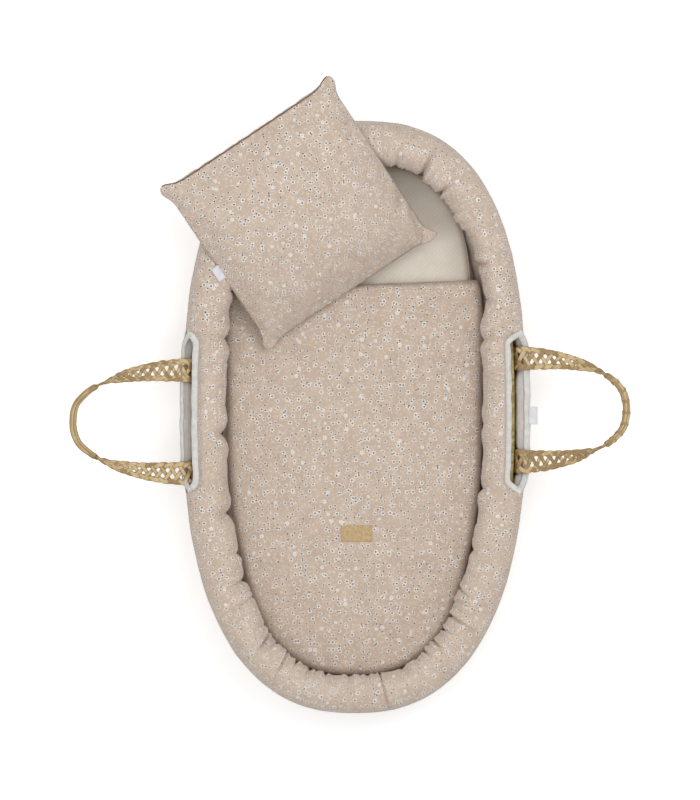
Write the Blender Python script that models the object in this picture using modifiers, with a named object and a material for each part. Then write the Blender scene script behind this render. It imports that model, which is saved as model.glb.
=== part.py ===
"""Moses basket: a palm basket with two handles, its cloth cover, mattress, quilt and cushion.

+X is the basket's right side, +Y its head end and +Z up. The origin is the middle of the base's underside.
A cross-section of the wall is drawn in two coordinates: how far a point lies outside the rim's
centre line, and its height.
"""
import math

import bmesh
import bpy
from mathutils import Matrix, Vector

# Fits shared by all pieces
TOUCH = 0.0003
WELD = 0.000003
OVERRUN = 0.02

# Plan of the covered basket: two half ovals of unlike roundness
PLAN_HALF_WIDTH = 0.2425
PLAN_HALF_LENGTH = 0.42
HEAD_ROUNDNESS_SHARE = 2.68
FOOT_ROUNDNESS_SHARE = 2.4
ARC_STEPS = 13
SIDE_STEPS = 7
ARC_SAMPLES = 240

# Palm basket
BASE_THICKNESS = 0.010
WALL_THICKNESS = 0.008
WALL_FLARE = 0.040
TOP_ROW_HEIGHT = 0.0597
RIM_INSET = 0.0205
RIM_RADIUS = 0.006
RIM_HEIGHT = 0.180
RIM_SIDES = 8

# Lining of the cover
LINING_THICKNESS = 0.004
LINING_DROP = 0.022
LINING_TOP = RIM_HEIGHT - LINING_DROP

# Padded roll of the cover, an oval section over the rim
CLOTH = 0.0014
ROLL_INNER_REACH = 0.040
ROLL_LIFT = 0.007
ROLL_CENTRE_HEIGHT = RIM_HEIGHT + ROLL_LIFT
ROLL_HALF_HEIGHT = 0.029
ROLL_ANGLES = [215, 165, 120, 75, 35]
ROLL_SEAM_ANGLE = 5
PUCKER_DEPTH = 0.006
PUCKER_SPREAD_SHARE = 0.35
PUCKER_VARIATION_SHARE = 0.25
FILL_GAP = 0.0036

# Slots of the cover, one each side, and their binding
SLOT_CENTRE = 0.003
SLOT_LENGTH = 0.250
SLOT_ROLL_INSET = 0.0267
SLOT_ROLL_ANGLE = 20
SLOT_EDGE_OUTSET = 0.0235
SLOT_EDGE_DROP = 0.004
SLOT_EDGE_HEIGHT = RIM_HEIGHT - SLOT_EDGE_DROP
SLOT_RAMP_SHARE = 1.0
BINDING_RADIUS = 0.0042
BINDING_BEND_STEPS = 0.35

# Skirt of the cover and its elastic
SKIRT_HEM_HEIGHT = 0.066
SKIRT_HEM_INSET = 0.0085
SKIRT_BELLY = 0.0015
SKIRT_FOLD = 0.005
SKIRT_DEPTH_SHARES = [0.0, 0.16, 0.45, 0.75, 1.0]
SKIRT_INSET_SHARES = [0.0, 0.0, 0.3, 0.72, 1.0]
FOLD_DEPTH_SHARES = [0.0, 0.15, 0.8, 1.0, 0.45]
FOLD_VARIATION_SHARE = 0.2
ELASTIC_WIDTH = 0.005
ELASTIC_THICKNESS = 0.003
FACING_THICKNESS = 0.001
FACING_ROWS = 3
SIDE_LABEL_LENGTH = 0.025
SIDE_LABEL_REACH = 0.010
SIDE_LABEL_THICKNESS = 0.0008
SIDE_LABEL_Y = 0.002

# Palm handles
HANDLE_SPACING = 0.147
HANDLE_REACH = 0.186
HANDLE_ROUNDNESS_SHARE = 2.4
LEFT_HANDLE_Y = -0.007
RIGHT_HANDLE_Y = 0.010
LEFT_DROOP = math.radians(23)
RIGHT_DROOP = math.radians(30)
BAND_WIDTH = 0.034
BAND_THICKNESS = 0.005
GRIP_WIDTH = 0.013
GRIP_THICKNESS = 0.008
STRAP_CORNER_SHARE = 0.7
TWIST_START_SHARE = 0.42
TWIST_END_SHARE = 0.72
TAIL_LENGTH = 0.102
TAIL_BOTTOM = RIM_HEIGHT - TAIL_LENGTH
TAIL_TOP_DROP = 0.0045
BAND_STATIONS = 9
GRIP_STATIONS = 13

# Mattress
MATTRESS_INSET = 0.049
MATTRESS_HEIGHT = 0.084
PANEL_THICKNESS = 0.003
BAND_CLOTH = 0.002

# Quilt
QUILT_INSET = 0.0435
QUILT_THICKNESS = 0.036
QUILT_FLAT_SHARE = 0.62
QUILT_SHOULDER_SHARE = 0.93
QUILT_SHOULDER_DROP = 0.005
QUILT_EDGE_DROP = 0.019
QUILT_FOOT_INSET = 0.006
QUILT_HEAD_GAP = 0.230
QUILT_HEAD_Y = PLAN_HALF_LENGTH - QUILT_HEAD_GAP
QUILT_HEAD_TURN = math.radians(2.1)
QUILT_HEM = 0.008
PATCH_WIDTH = 0.045
PATCH_DEPTH = 0.023
PATCH_THICKNESS = 0.001
PATCH_CENTRE = (0.003, -0.167)

# Cushion
CUSHION_SIDE = 0.282
CUSHION_THICKNESS = 0.074
CUSHION_DRAW_IN = 0.009
CUSHION_FULLNESS_SHARE = 0.42
CUSHION_STEPS = 10
CUSHION_SIDE_INSET = 0.165
CUSHION_HEAD_INSET = 0.1345
CUSHION_LIFT = 0.034
CUSHION_CENTRE = (
    CUSHION_SIDE_INSET - PLAN_HALF_WIDTH,
    PLAN_HALF_LENGTH - CUSHION_HEAD_INSET,
    RIM_HEIGHT + CUSHION_LIFT,
)
CUSHION_TURN = math.radians(33.7)
CUSHION_TILT = math.radians(19)
CUSHION_SAG = 0.012
CUSHION_SEAM = 0.003
PAD_GAP = 0.0009
DENT_FOOT_SHARES = (0.5, 0.25)
ZIP_LENGTH = 0.190
ZIP_SLOT = 0.004
ZIP_TAPE = 0.009
ZIP_SETBACK = 0.013
ZIP_POCKET = 0.005
SLIDER_LENGTH = 0.009
SLIDER_DEPTH = 0.007
CUSHION_LABEL_LENGTH = 0.022
CUSHION_LABEL_REACH = 0.009
CUSHION_LABEL_PLACE = -0.0045
CUSHION_LABEL_LIFT = 0.004
CUSHION_LABEL_TUCK = 0.0015
CUSHION_LABEL_TILT = math.radians(20)

# Colours
PRINT_CLOTH = ("printed_cotton", (0.60, 0.47, 0.36), 0.9)
PLAIN_CLOTH = ("plain_cotton", (0.56, 0.50, 0.43), 0.9)
WHITE_BINDING = ("white_binding", (0.86, 0.84, 0.80), 0.85)
WHITE_TAPE = ("white_label", (0.90, 0.90, 0.89), 0.7)
PALM = ("palm_leaf", (0.57, 0.43, 0.25), 0.75)
WADDING = ("wadding", (0.88, 0.87, 0.84), 0.95)
FOAM = ("foam", (0.87, 0.84, 0.74), 0.9)
KNIT = ("mattress_knit", (0.66, 0.60, 0.51), 0.9)
MESH_BAND = ("mattress_band", (0.40, 0.31, 0.28), 0.9)
RUBBER = ("elastic", (0.80, 0.78, 0.74), 0.8)
KRAFT = ("kraft_patch", (0.46, 0.32, 0.19), 0.7)
ZIP = ("zip", (0.33, 0.24, 0.18), 0.6)


def clear_scene():
    """Remove every object, so that the file holds the basket alone."""
    for item in list(bpy.data.objects):
        bpy.data.objects.remove(item, do_unlink=True)


def collection(name):
    """Return a new collection of the scene."""
    group = bpy.data.collections.new(name)
    bpy.context.scene.collection.children.link(group)
    return group


def finish_of(look):
    """Return the material of a (name, colour, roughness) look, made once."""
    name, colour, roughness = look
    found = bpy.data.materials.get(name)
    if found:
        return found
    made = bpy.data.materials.new(name)
    made.use_nodes = True
    made.diffuse_color = (*colour, 1.0)
    shader = made.node_tree.nodes["Principled BSDF"]
    shader.inputs["Base Color"].default_value = (*colour, 1.0)
    shader.inputs["Roughness"].default_value = roughness
    shader.inputs["Metallic"].default_value = 0.0
    return made


def add_piece(name, mesh, look, parent=None):
    """Put a mesh in the basket's collection as one named piece."""
    piece = bpy.data.objects.new(name, mesh)
    mesh.materials.clear()
    mesh.materials.append(finish_of(look))
    PIECES.objects.link(piece)
    piece.parent = parent
    return piece


def add_cutter(name, mesh, parent=None):
    """Put a mesh among the cutters, as a wire shape that isn't part of the basket."""
    cutter = bpy.data.objects.new(name, mesh)
    CUTTERS.objects.link(cutter)
    cutter.hide_render = True
    cutter.display_type = "WIRE"
    cutter.parent = parent
    return cutter


def cut(piece, cutter, operation="DIFFERENCE"):
    """Cut a piece by a cutter, or keep only what the two share."""
    boolean = piece.modifiers.new(cutter.name, "BOOLEAN")
    boolean.operation = operation
    boolean.solver = "EXACT"
    boolean.object = cutter


def pivot(name, location, rotation=(0.0, 0.0, 0.0)):
    """Add an empty that carries a body's pieces."""
    empty = bpy.data.objects.new(name, None)
    PIECES.objects.link(empty)
    empty.location = location
    empty.rotation_euler = rotation
    return empty


def mesh_from(builder, name):
    """Turn a bmesh into a mesh whose faces point out."""
    bmesh.ops.recalc_face_normals(builder, faces=builder.faces)
    mesh = bpy.data.meshes.new(name)
    builder.to_mesh(mesh)
    builder.free()
    return mesh


def box_mesh(name, low, high):
    """Return a box between two corners."""
    builder = bmesh.new()
    bmesh.ops.create_cube(builder, size=1.0)
    low = Vector(low)
    high = Vector(high)
    bmesh.ops.scale(builder, vec=high - low, verts=builder.verts)
    bmesh.ops.translate(builder, vec=(low + high) / 2, verts=builder.verts)
    return mesh_from(builder, name)


def loft_mesh(name, sections, closed=False):
    """Skin closed sections of equal count; the last one joins the first, or both ends get a flat cap."""
    builder = bmesh.new()
    rows = [[builder.verts.new(point) for point in section] for section in sections]
    count = len(rows[0])
    for index in range(len(rows) if closed else len(rows) - 1):
        here = rows[index]
        there = rows[(index + 1) % len(rows)]
        for k in range(count):
            after = (k + 1) % count
            builder.faces.new((here[k], here[after], there[after], there[k]))
    if not closed:
        builder.faces.new(rows[0])
        builder.faces.new(rows[-1])
    return mesh_from(builder, name)


def smooth(mesh, angle=math.radians(40)):
    """Shade a rounded mesh smooth, with its real edges kept sharp."""
    mesh.shade_smooth()
    mesh.set_sharp_from_angle(angle=angle)


def blend(start, end, share):
    """Return the value a share of the way from start to end."""
    return start + (end - start) * share


def ease(share):
    """Return a share between 0 and 1 that starts and stops gently."""
    share = min(max(share, 0.0), 1.0)
    return share * share * (3 - 2 * share)


# Plan

def plan_point(angle):
    """Return the outline's point at an angle of its own: 0 at the right side, a quarter turn at the head."""
    roundness = HEAD_ROUNDNESS_SHARE if math.sin(angle) >= 0 else FOOT_ROUNDNESS_SHARE
    power = 2 / roundness
    across = math.copysign(abs(math.cos(angle)) ** power, math.cos(angle))
    along = math.copysign(abs(math.sin(angle)) ** power, math.sin(angle))
    return Vector((PLAN_HALF_WIDTH * across, PLAN_HALF_LENGTH * along))


def side_angle(y):
    """Return the angle at which the outline's right side reaches a place along the basket."""
    roundness = HEAD_ROUNDNESS_SHARE if y >= 0 else FOOT_ROUNDNESS_SHARE
    return math.copysign(math.asin((abs(y) / PLAN_HALF_LENGTH) ** (roundness / 2)), y)


def plan_run(start, end, steps):
    """Return points at equal spacing along the outline, from one angle up to the next."""
    samples = [plan_point(blend(start, end, i / ARC_SAMPLES)) for i in range(ARC_SAMPLES + 1)]
    reach = [0.0]
    for before, after in zip(samples, samples[1:]):
        reach.append(reach[-1] + (after - before).length)
    points = []
    for step in range(steps):
        wanted = reach[-1] * step / steps
        at = max(i for i, length in enumerate(reach) if length <= wanted)
        points.append(samples[at].lerp(samples[at + 1], (wanted - reach[at]) / (reach[at + 1] - reach[at])))
    return points


def offset_ring(points, distance):
    """Move a closed ring outwards, with mitred corners."""
    moved = []
    for index, point in enumerate(points):
        before = (point - points[index - 1]).normalized()
        after = (points[(index + 1) % len(points)] - point).normalized()
        along = (before + after).normalized()
        outward = Vector((along.y, -along.x))
        mitre = outward.dot(Vector((before.y, -before.x)))
        moved.append(point + outward * (distance / mitre))
    return moved


def plan_ring():
    """Return the rim's centre line: both slots, the head and the foot each in equal steps."""
    low = side_angle(SLOT_CENTRE - SLOT_LENGTH / 2)
    high = side_angle(SLOT_CENTRE + SLOT_LENGTH / 2)
    outline = plan_run(low, high, SIDE_STEPS)
    outline += plan_run(high, math.pi - high, ARC_STEPS)
    outline += plan_run(math.pi - high, math.pi - low, SIDE_STEPS)
    outline += plan_run(math.pi - low, math.tau + low, ARC_STEPS)
    return offset_ring(outline, -RIM_INSET)


def halved(points):
    """Add the middle of each edge to a closed ring."""
    fine = []
    for index, point in enumerate(points):
        fine += [point, point.lerp(points[(index + 1) % len(points)], 0.5)]
    return fine


def slot_shares():
    """Return how far the slot is open at each fine step of the ring."""
    shares = [0.0] * (4 * (SIDE_STEPS + ARC_STEPS))
    span = 2 * SIDE_STEPS
    for first in (0, 2 * (SIDE_STEPS + ARC_STEPS)):
        for step in range(1, span):
            shares[first + step] = min(1.0, min(step, span - step) * SLOT_RAMP_SHARE)
    return shares


def recess_shares():
    """Return, for the wadding's coarser steps, 1 along each slot with its ends and 0 elsewhere."""
    side = [1.0] * (SIDE_STEPS + 1) + [0.0] * (ARC_STEPS - 1)
    return side + side


def stations(rim, sections_at):
    """Place each step's (outset, height) section on the ring and return the sections in space."""
    return [
        [(*ring_point(rim, index, outset), height) for outset, height in section]
        for index, section in enumerate(sections_at)
    ]


def ring_point(rim, index, outset):
    """Return one point of the ring moved outwards."""
    before = (rim[index] - rim[index - 1]).normalized()
    after = (rim[(index + 1) % len(rim)] - rim[index]).normalized()
    along = (before + after).normalized()
    outward = Vector((along.y, -along.x))
    return rim[index] + outward * (outset / outward.dot(Vector((before.y, -before.x))))


def curve_object(name, points, cyclic=True):
    """Return a flat curve through plan points."""
    curve = bpy.data.curves.new(name, "CURVE")
    curve.dimensions = "2D"
    curve.fill_mode = "NONE"
    spline = curve.splines.new("POLY")
    spline.points.add(len(points) - 1)
    for target, (x, y) in zip(spline.points, points):
        target.co = (x, y, 0.0, 1.0)
    spline.use_cyclic_u = cyclic
    shape = bpy.data.objects.new(name, curve)
    CUTTERS.objects.link(shape)
    return shape


def baked(shape, name):
    """Turn a curve object into a mesh whose caps are welded, and remove the curve."""
    graph = bpy.context.evaluated_depsgraph_get()
    graph.update()
    mesh = bpy.data.meshes.new_from_object(shape.evaluated_get(graph))
    bpy.data.objects.remove(shape, do_unlink=True)
    builder = bmesh.new()
    builder.from_mesh(mesh)
    bmesh.ops.remove_doubles(builder, verts=builder.verts, dist=WELD)
    bpy.data.meshes.remove(mesh)
    return mesh_from(builder, name)


def swept_ring(name, profile):
    """Sweep an (outset, height) profile along the rim's centre line."""
    section = curve_object(name + "_section", [(-outset, height) for outset, height in profile])
    path = curve_object(name, RIM)
    path.data.bevel_mode = "OBJECT"
    path.data.bevel_object = section
    mesh = baked(path, name)
    bpy.data.objects.remove(section, do_unlink=True)
    return mesh


def plate(name, outset, low, high):
    """Return an oval plate between two heights."""
    shape = curve_object(name, offset_ring(RIM, outset))
    shape.data.fill_mode = "BOTH"
    shape.data.extrude = (high - low) / 2
    mesh = baked(shape, name)
    mesh.transform(Matrix.Translation((0.0, 0.0, (low + high) / 2)))
    return mesh


def thickened(profile, thickness):
    """Close an open profile with a copy of itself moved to its right-hand side."""
    inner = []
    for index, point in enumerate(profile):
        here = Vector(point)
        before = here - Vector(profile[index - 1]) if index else Vector(profile[1]) - here
        after = Vector(profile[index + 1]) - here if index < len(profile) - 1 else before
        before = before.normalized()
        along = (before + after.normalized()).normalized()
        right = Vector((along.y, -along.x))
        moved = here + right * (thickness / right.dot(Vector((before.y, -before.x))))
        inner.append((moved.x, moved.y))
    return list(profile) + inner[::-1]


# Palm basket

def wall_middle(height):
    """Return how far out the wall's middle lies at a height."""
    return -WALL_FLARE * (WALL_TOP - height) / (WALL_TOP - WALL_FOOT)


def band_profile(low, high, near, far):
    """Return a leaning strip between two heights, from near to far outside the wall's middle."""
    return [
        (wall_middle(low) + near, low),
        (wall_middle(low) + far, low),
        (wall_middle(high) + far, high),
        (wall_middle(high) + near, high),
    ]


def build_basket():
    """Make the base, the wall's sewn rows and the rim."""
    half = WALL_THICKNESS / 2
    base = plate("basket_base", half - WALL_FLARE, 0.0, BASE_THICKNESS)
    add_piece("basket_base", base, PALM)
    names = ["wall_row_lower", "wall_row_middle", "wall_row_upper"]
    row_feet = [WALL_FOOT, (WALL_FOOT + WALL_TOP - TOP_ROW_HEIGHT) / 2, WALL_TOP - TOP_ROW_HEIGHT]
    row_tops = [row_feet[1] - TOUCH, row_feet[2] - TOUCH, WALL_TOP]
    for name, low, high in zip(names, row_feet, row_tops):
        add_piece(name, swept_ring(name, band_profile(low, high, -half, half)), PALM)
    circle = []
    for side in range(RIM_SIDES):
        angle = math.tau * (side + 0.5) / RIM_SIDES
        circle.append((RIM_RADIUS * math.cos(angle), RIM_HEIGHT + RIM_RADIUS * math.sin(angle)))
    rim = swept_ring("basket_rim", circle)
    smooth(rim, math.radians(50))
    add_piece("basket_rim", rim, PALM)


# Cover

def build_lining():
    """Make the padded lining of the wall and of the floor."""
    face = -WALL_THICKNESS / 2 - TOUCH
    floor = plate("lining_floor", wall_middle(WALL_FOOT) + face, WALL_FOOT, LINING_FLOOR_TOP)
    add_piece("lining_floor", floor, PRINT_CLOTH)
    profile = band_profile(LINING_FLOOR_TOP + TOUCH, LINING_TOP, face - LINING_THICKNESS, face)
    add_piece("lining_wall", swept_ring("lining_wall", profile), PRINT_CLOTH)


def roll_arc(inset, slot, pucker):
    """Return the roll's upper outline, from its inner side over the top to its outer edge."""
    middle = (RIM_INSET - ROLL_INNER_REACH) / 2
    inner = middle + ROLL_INNER_REACH - inset
    outer = blend(RIM_INSET, RIM_INSET - SLOT_ROLL_INSET, slot) - middle - inset
    height = ROLL_HALF_HEIGHT - inset
    points = []
    end = blend(ROLL_SEAM_ANGLE, SLOT_ROLL_ANGLE, slot)
    for degrees in ROLL_ANGLES + [end]:
        angle = math.radians(degrees)
        inward = max(0.0, -math.cos(angle))
        width = inner - pucker * inward if inward else outer
        lift = height - pucker * PUCKER_SPREAD_SHARE * inward
        points.append((middle + width * math.cos(angle), ROLL_CENTRE_HEIGHT + lift * math.sin(angle)))
    return points


def roll_envelope(growth):
    """Return the roll's closed section, grown all round."""
    arc = roll_arc(-growth, 0.0, 0.0)
    outset, height = arc[0]
    foot = (outset * DENT_FOOT_SHARES[0], height - ROLL_HALF_HEIGHT * DENT_FOOT_SHARES[1])
    return [foot] + arc


def build_roll():
    """Make the wadding over the rim and the gathered cloth round it."""
    lining_inner = wall_middle(LINING_TOP) - WALL_THICKNESS / 2 - TOUCH - LINING_THICKNESS
    start = (lining_inner, LINING_TOP + TOUCH)
    sections = []
    for step, slot in enumerate(slot_shares()):
        variation = 1 - PUCKER_VARIATION_SHARE * (1 - math.sin(step * step))
        pucker = PUCKER_DEPTH * variation if step % 2 else 0.0
        profile = [start] + roll_arc(0.0, slot, pucker)
        sections.append(thickened(profile, CLOTH))
    cloth = loft_mesh("roll_cover", stations(halved(RIM), sections), closed=True)
    smooth(cloth, math.radians(60))
    add_piece("roll_cover", cloth, PRINT_CLOTH)

    reach = RIM_RADIUS + TOUCH
    seat = RIM_HEIGHT + reach
    foot = LINING_TOP + FILL_GAP
    wall_face = wall_middle(foot) - WALL_THICKNESS / 2 - TOUCH
    sections = []
    for slot in recess_shares():
        arc = roll_arc(FILL_GAP, slot, PUCKER_DEPTH)
        hollow = [(lining_inner, foot), (wall_face, foot), (-reach, seat), (max(arc[-1][0], -reach), seat)]
        sections.append(arc + hollow[::-1])
    wadding = loft_mesh("roll_wadding", stations(RIM, sections), closed=True)
    add_piece("roll_wadding", wadding, WADDING)


def skirt_profile(slot, fold):
    """Return the skirt's outer face, from its top edge down to the hem."""
    seam = roll_arc(0.0, 0.0, 0.0)[-1]
    top_height = blend(seam[1] - CLOTH / 2 - TOUCH, SLOT_EDGE_HEIGHT - BINDING_RADIUS - TOUCH, slot)
    top = blend(seam[0], SLOT_EDGE_OUTSET + CLOTH, slot)
    profile = []
    for depth, inset, swing in zip(SKIRT_DEPTH_SHARES, SKIRT_INSET_SHARES, FOLD_DEPTH_SHARES):
        height = blend(top_height, SKIRT_HEM_HEIGHT, depth)
        outset = blend(top + SKIRT_BELLY * math.sin(math.pi * depth), -SKIRT_HEM_INSET, inset)
        profile.append((outset + fold * swing, height))
    return profile


def skirt_folds():
    """Return how far the cloth swings out or in at each fine step."""
    swings = []
    for step, slot in enumerate(slot_shares()):
        variation = 1 - FOLD_VARIATION_SHARE * (1 - math.cos(step))
        swings.append(SKIRT_FOLD * math.sin(math.pi * step / 2) * variation * (1 - slot))
    return swings


def build_skirt():
    """Make the skirt in its folds, its elastic and the plain facing behind each slot."""
    folds = skirt_folds()
    shares = slot_shares()
    sections = [thickened(skirt_profile(slot, fold), CLOTH) for slot, fold in zip(shares, folds)]
    cloth = loft_mesh("cover_skirt", stations(halved(RIM), sections), closed=True)
    smooth(cloth, math.radians(60))
    add_piece("cover_skirt", cloth, PRINT_CLOTH)

    inner = -SKIRT_HEM_INSET - CLOTH - ELASTIC_THICKNESS / 2
    outer = inner + ELASTIC_THICKNESS
    top = SKIRT_HEM_HEIGHT - TOUCH
    profile = [(inner, top - ELASTIC_WIDTH), (outer, top - ELASTIC_WIDTH), (outer, top), (inner, top)]
    add_piece("hem_elastic", swept_ring("hem_elastic", profile), RUBBER)

    rim = halved(RIM)
    first_of = {"right": 0, "left": 2 * (SIDE_STEPS + ARC_STEPS)}
    for side, first in first_of.items():
        placed = []
        for step in range(first + 1, first + 2 * SIDE_STEPS):
            placed.append(facing_section(rim, step, shares[step], folds[step]))
        add_piece("slot_facing_" + side, loft_mesh("slot_facing_" + side, placed), PLAIN_CLOTH)


def facing_section(rim, step, slot, fold):
    """Return the facing's section behind the skirt at one step."""
    profile = skirt_profile(slot, fold)
    face = thickened(profile, CLOTH + TOUCH)[:-FACING_ROWS - 1:-1]
    back = thickened(profile, CLOTH + TOUCH + FACING_THICKNESS)[:-FACING_ROWS - 1:-1]
    return [(*ring_point(rim, step, outset), height) for outset, height in face + back[::-1]]


def binding_place(rim, shares, position, side):
    """Return the binding's centre between fine steps: on the roll's edge, on the skirt's edge or midway."""
    step = int(position)
    share = position - step
    slot = blend(shares[step], shares[step + 1], share)
    reach = BINDING_RADIUS + 2 * TOUCH
    roll = roll_arc(0.0, slot, 0.0)[-1]
    hem = skirt_profile(slot, 0.0)[0]
    on_roll = (roll[0] + reach, roll[1])
    on_skirt = (hem[0] - CLOTH / 2, hem[1] + reach)
    midway = ((roll[0] + hem[0]) / 2, (roll[1] + hem[1]) / 2)
    outset, height = {"roll": on_roll, "skirt": on_skirt, "end": midway}[side]
    place = ring_point(rim, step, outset).lerp(ring_point(rim, step + 1, outset), share)
    return (*place, height)


def binding_route(first):
    """Return the closed line of one slot's binding, up its roll edge and back down its skirt edge."""
    rim = halved(RIM)
    shares = slot_shares()
    low = first + 1
    high = first + 2 * SIDE_STEPS - 1
    places = [low + BINDING_BEND_STEPS] + list(range(low + 1, high)) + [high - BINDING_BEND_STEPS]
    route = [binding_place(rim, shares, low, "end")]
    route += [binding_place(rim, shares, place, "roll") for place in places]
    route += [binding_place(rim, shares, high, "end")]
    route += [binding_place(rim, shares, place, "skirt") for place in reversed(places)]
    return route


def build_bindings():
    """Bind the edge of each slot with a round tape."""
    for side, first in (("right", 0), ("left", 2 * (SIDE_STEPS + ARC_STEPS))):
        name = "slot_binding_" + side
        curve = bpy.data.curves.new(name, "CURVE")
        curve.dimensions = "3D"
        curve.bevel_depth = BINDING_RADIUS
        curve.bevel_resolution = 1
        route = binding_route(first)
        spline = curve.splines.new("POLY")
        spline.points.add(len(route) - 1)
        for target, point in zip(spline.points, route):
            target.co = (*point, 1.0)
        spline.use_cyclic_u = True
        shape = bpy.data.objects.new(name, curve)
        CUTTERS.objects.link(shape)
        mesh = baked(shape, name)
        smooth(mesh, math.radians(60))
        add_piece(name, mesh, WHITE_BINDING)


def build_side_label():
    """Hang the small white label from the right slot's skirt edge."""
    outset = SLOT_EDGE_OUTSET + CLOTH / 2 + BINDING_RADIUS + TOUCH
    side = rim_x(SIDE_LABEL_Y) + outset
    height = SLOT_EDGE_HEIGHT
    low = (side, SIDE_LABEL_Y - SIDE_LABEL_LENGTH / 2, height - SIDE_LABEL_THICKNESS / 2)
    high = (side + SIDE_LABEL_REACH, SIDE_LABEL_Y + SIDE_LABEL_LENGTH / 2, height + SIDE_LABEL_THICKNESS / 2)
    add_piece("cover_label", box_mesh("cover_label", low, high), WHITE_TAPE)


# Handles

def rim_x(y):
    """Return how far right the rim's centre line lies at a place along the basket's side."""
    for before, after in zip(RIM[:SIDE_STEPS], RIM[1:SIDE_STEPS + 1]):
        if before.y <= y <= after.y:
            return blend(before.x, after.x, (y - before.y) / (after.y - before.y))
    return RIM[0].x


def handle_point(share):
    """Return a point of the handle's loop: share 0 at one root, 1 at the other, as (outward, along)."""
    angle = math.pi * (0.5 - share)
    power = 2 / HANDLE_ROUNDNESS_SHARE
    outward = HANDLE_REACH * abs(math.cos(angle)) ** power
    along = HANDLE_SPACING / 2 * math.copysign(abs(math.sin(angle)) ** power, math.sin(angle))
    return Vector((outward, along, 0.0))


def handle_route(samples=ARC_SAMPLES):
    """Return the loop's points and how far along the strap each lies."""
    points = [handle_point(i / samples) for i in range(samples + 1)]
    reach = [0.0]
    for before, after in zip(points, points[1:]):
        reach.append(reach[-1] + (after - before).length)
    return points, reach


def strap_section(points, reach, length):
    """Return the strap's section at a length along it; it turns edge-on towards the middle."""
    at = max(i for i, value in enumerate(reach[:-1]) if value <= length)
    centre = points[at].lerp(points[at + 1], (length - reach[at]) / (reach[at + 1] - reach[at]))
    along = (points[at + 1] - points[at]).normalized()
    flat = Vector((0.0, 0.0, 1.0)).cross(along)
    half_way = min(length, reach[-1] - length) / (reach[-1] / 2)
    turned = ease((half_way - TWIST_START_SHARE) / (TWIST_END_SHARE - TWIST_START_SHARE))
    angle = math.pi / 2 * (turned if length < reach[-1] / 2 else 2 - turned)
    across = flat * math.cos(angle) + Vector((0.0, 0.0, 1.0)) * math.sin(angle)
    through = along.cross(across)
    width = blend(BAND_WIDTH, GRIP_WIDTH, turned) / 2
    depth = blend(BAND_THICKNESS, GRIP_THICKNESS, turned) / 2
    corner = STRAP_CORNER_SHARE
    corners = [(1, corner), (corner, 1), (-corner, 1), (-1, corner)]
    corners += [(-1, -corner), (-corner, -1), (corner, -1), (1, -corner)]
    return [centre + across * width * w + through * depth * d for w, d in corners]


def strap_mesh(name, start, end, count):
    """Return the strap between two lengths along the loop."""
    points, reach = handle_route()
    lengths = [blend(start, end, i / (count - 1)) for i in range(count)]
    mesh = loft_mesh(name, [strap_section(points, reach, length) for length in lengths])
    smooth(mesh, math.radians(50))
    return mesh


def hinge_place(side, y):
    """Return the handle's hinge point: over its sewn tails, and high enough to clear the bound edge."""
    out = rim_x(HANDLE_SPACING / 2) + RIM_RADIUS + TOUCH + BAND_THICKNESS / 2
    run = rim_x(0.0) + SLOT_EDGE_OUTSET - out
    droop = max(LEFT_DROOP, RIGHT_DROOP)
    clear = (BAND_THICKNESS / 2 + BINDING_RADIUS + 2 * TOUCH) / math.cos(droop)
    height = SLOT_EDGE_HEIGHT + clear + run * math.tan(droop)
    return Vector((side * out, y, height))


def tail_window(name, side, middle):
    """Return a cutter that keeps one tail of the ring that they are all cut from."""
    reach = side * PLAN_HALF_WIDTH * 2
    low = (min(0.0, reach), middle - BAND_WIDTH / 2, 0.0)
    high = (max(0.0, reach), middle + BAND_WIDTH / 2, RIM_HEIGHT * 2)
    return add_cutter(name, box_mesh(name, low, high))


def build_handles():
    """Make each handle: two tails sewn to the wall, two braided bands and the bound grip."""
    length = handle_route()[1][-1]
    split = length / 2 * TWIST_END_SHARE
    tail_ring = swept_ring("handle_tail_ring", tail_profile())
    handles = (
        ("handle_left", -1, LEFT_HANDLE_Y, LEFT_DROOP, math.pi),
        ("handle_right", 1, RIGHT_HANDLE_Y, RIGHT_DROOP, 0.0),
    )
    for name, side, y, droop, turn in handles:
        root = pivot(name + "_pivot", hinge_place(side, y), (0.0, droop, turn))
        for end_name, end in (("_head", 1), ("_foot", -1)):
            band_name = name + end_name + "_band"
            near = 0.0 if end == side else length - split
            add_piece(band_name, strap_mesh(band_name, near, near + split, BAND_STATIONS), PALM, root)
            tail = add_piece(name + end_name + "_tail", tail_ring.copy(), PALM)
            middle = y + end * HANDLE_SPACING / 2
            cut(tail, tail_window(name + end_name + "_window", side, middle), "INTERSECT")
        grip = strap_mesh(name + "_grip", split + TOUCH, length - split - TOUCH, GRIP_STATIONS)
        add_piece(name + "_grip", grip, PALM, root)


def tail_profile():
    """Return the section of a tail: up the wall's outer face and past the rim."""
    top = hinge_place(1, 0.0).z - TAIL_TOP_DROP
    wall_face = WALL_THICKNESS / 2 + TOUCH
    rim_face = RIM_RADIUS + TOUCH
    shoulder = RIM_HEIGHT - RIM_RADIUS
    inner = [(wall_middle(TAIL_BOTTOM) + wall_face, TAIL_BOTTOM), (rim_face, shoulder), (rim_face, top)]
    outer = [(outset + BAND_THICKNESS, height) for outset, height in inner]
    return inner + outer[::-1]


# Mattress

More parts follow.
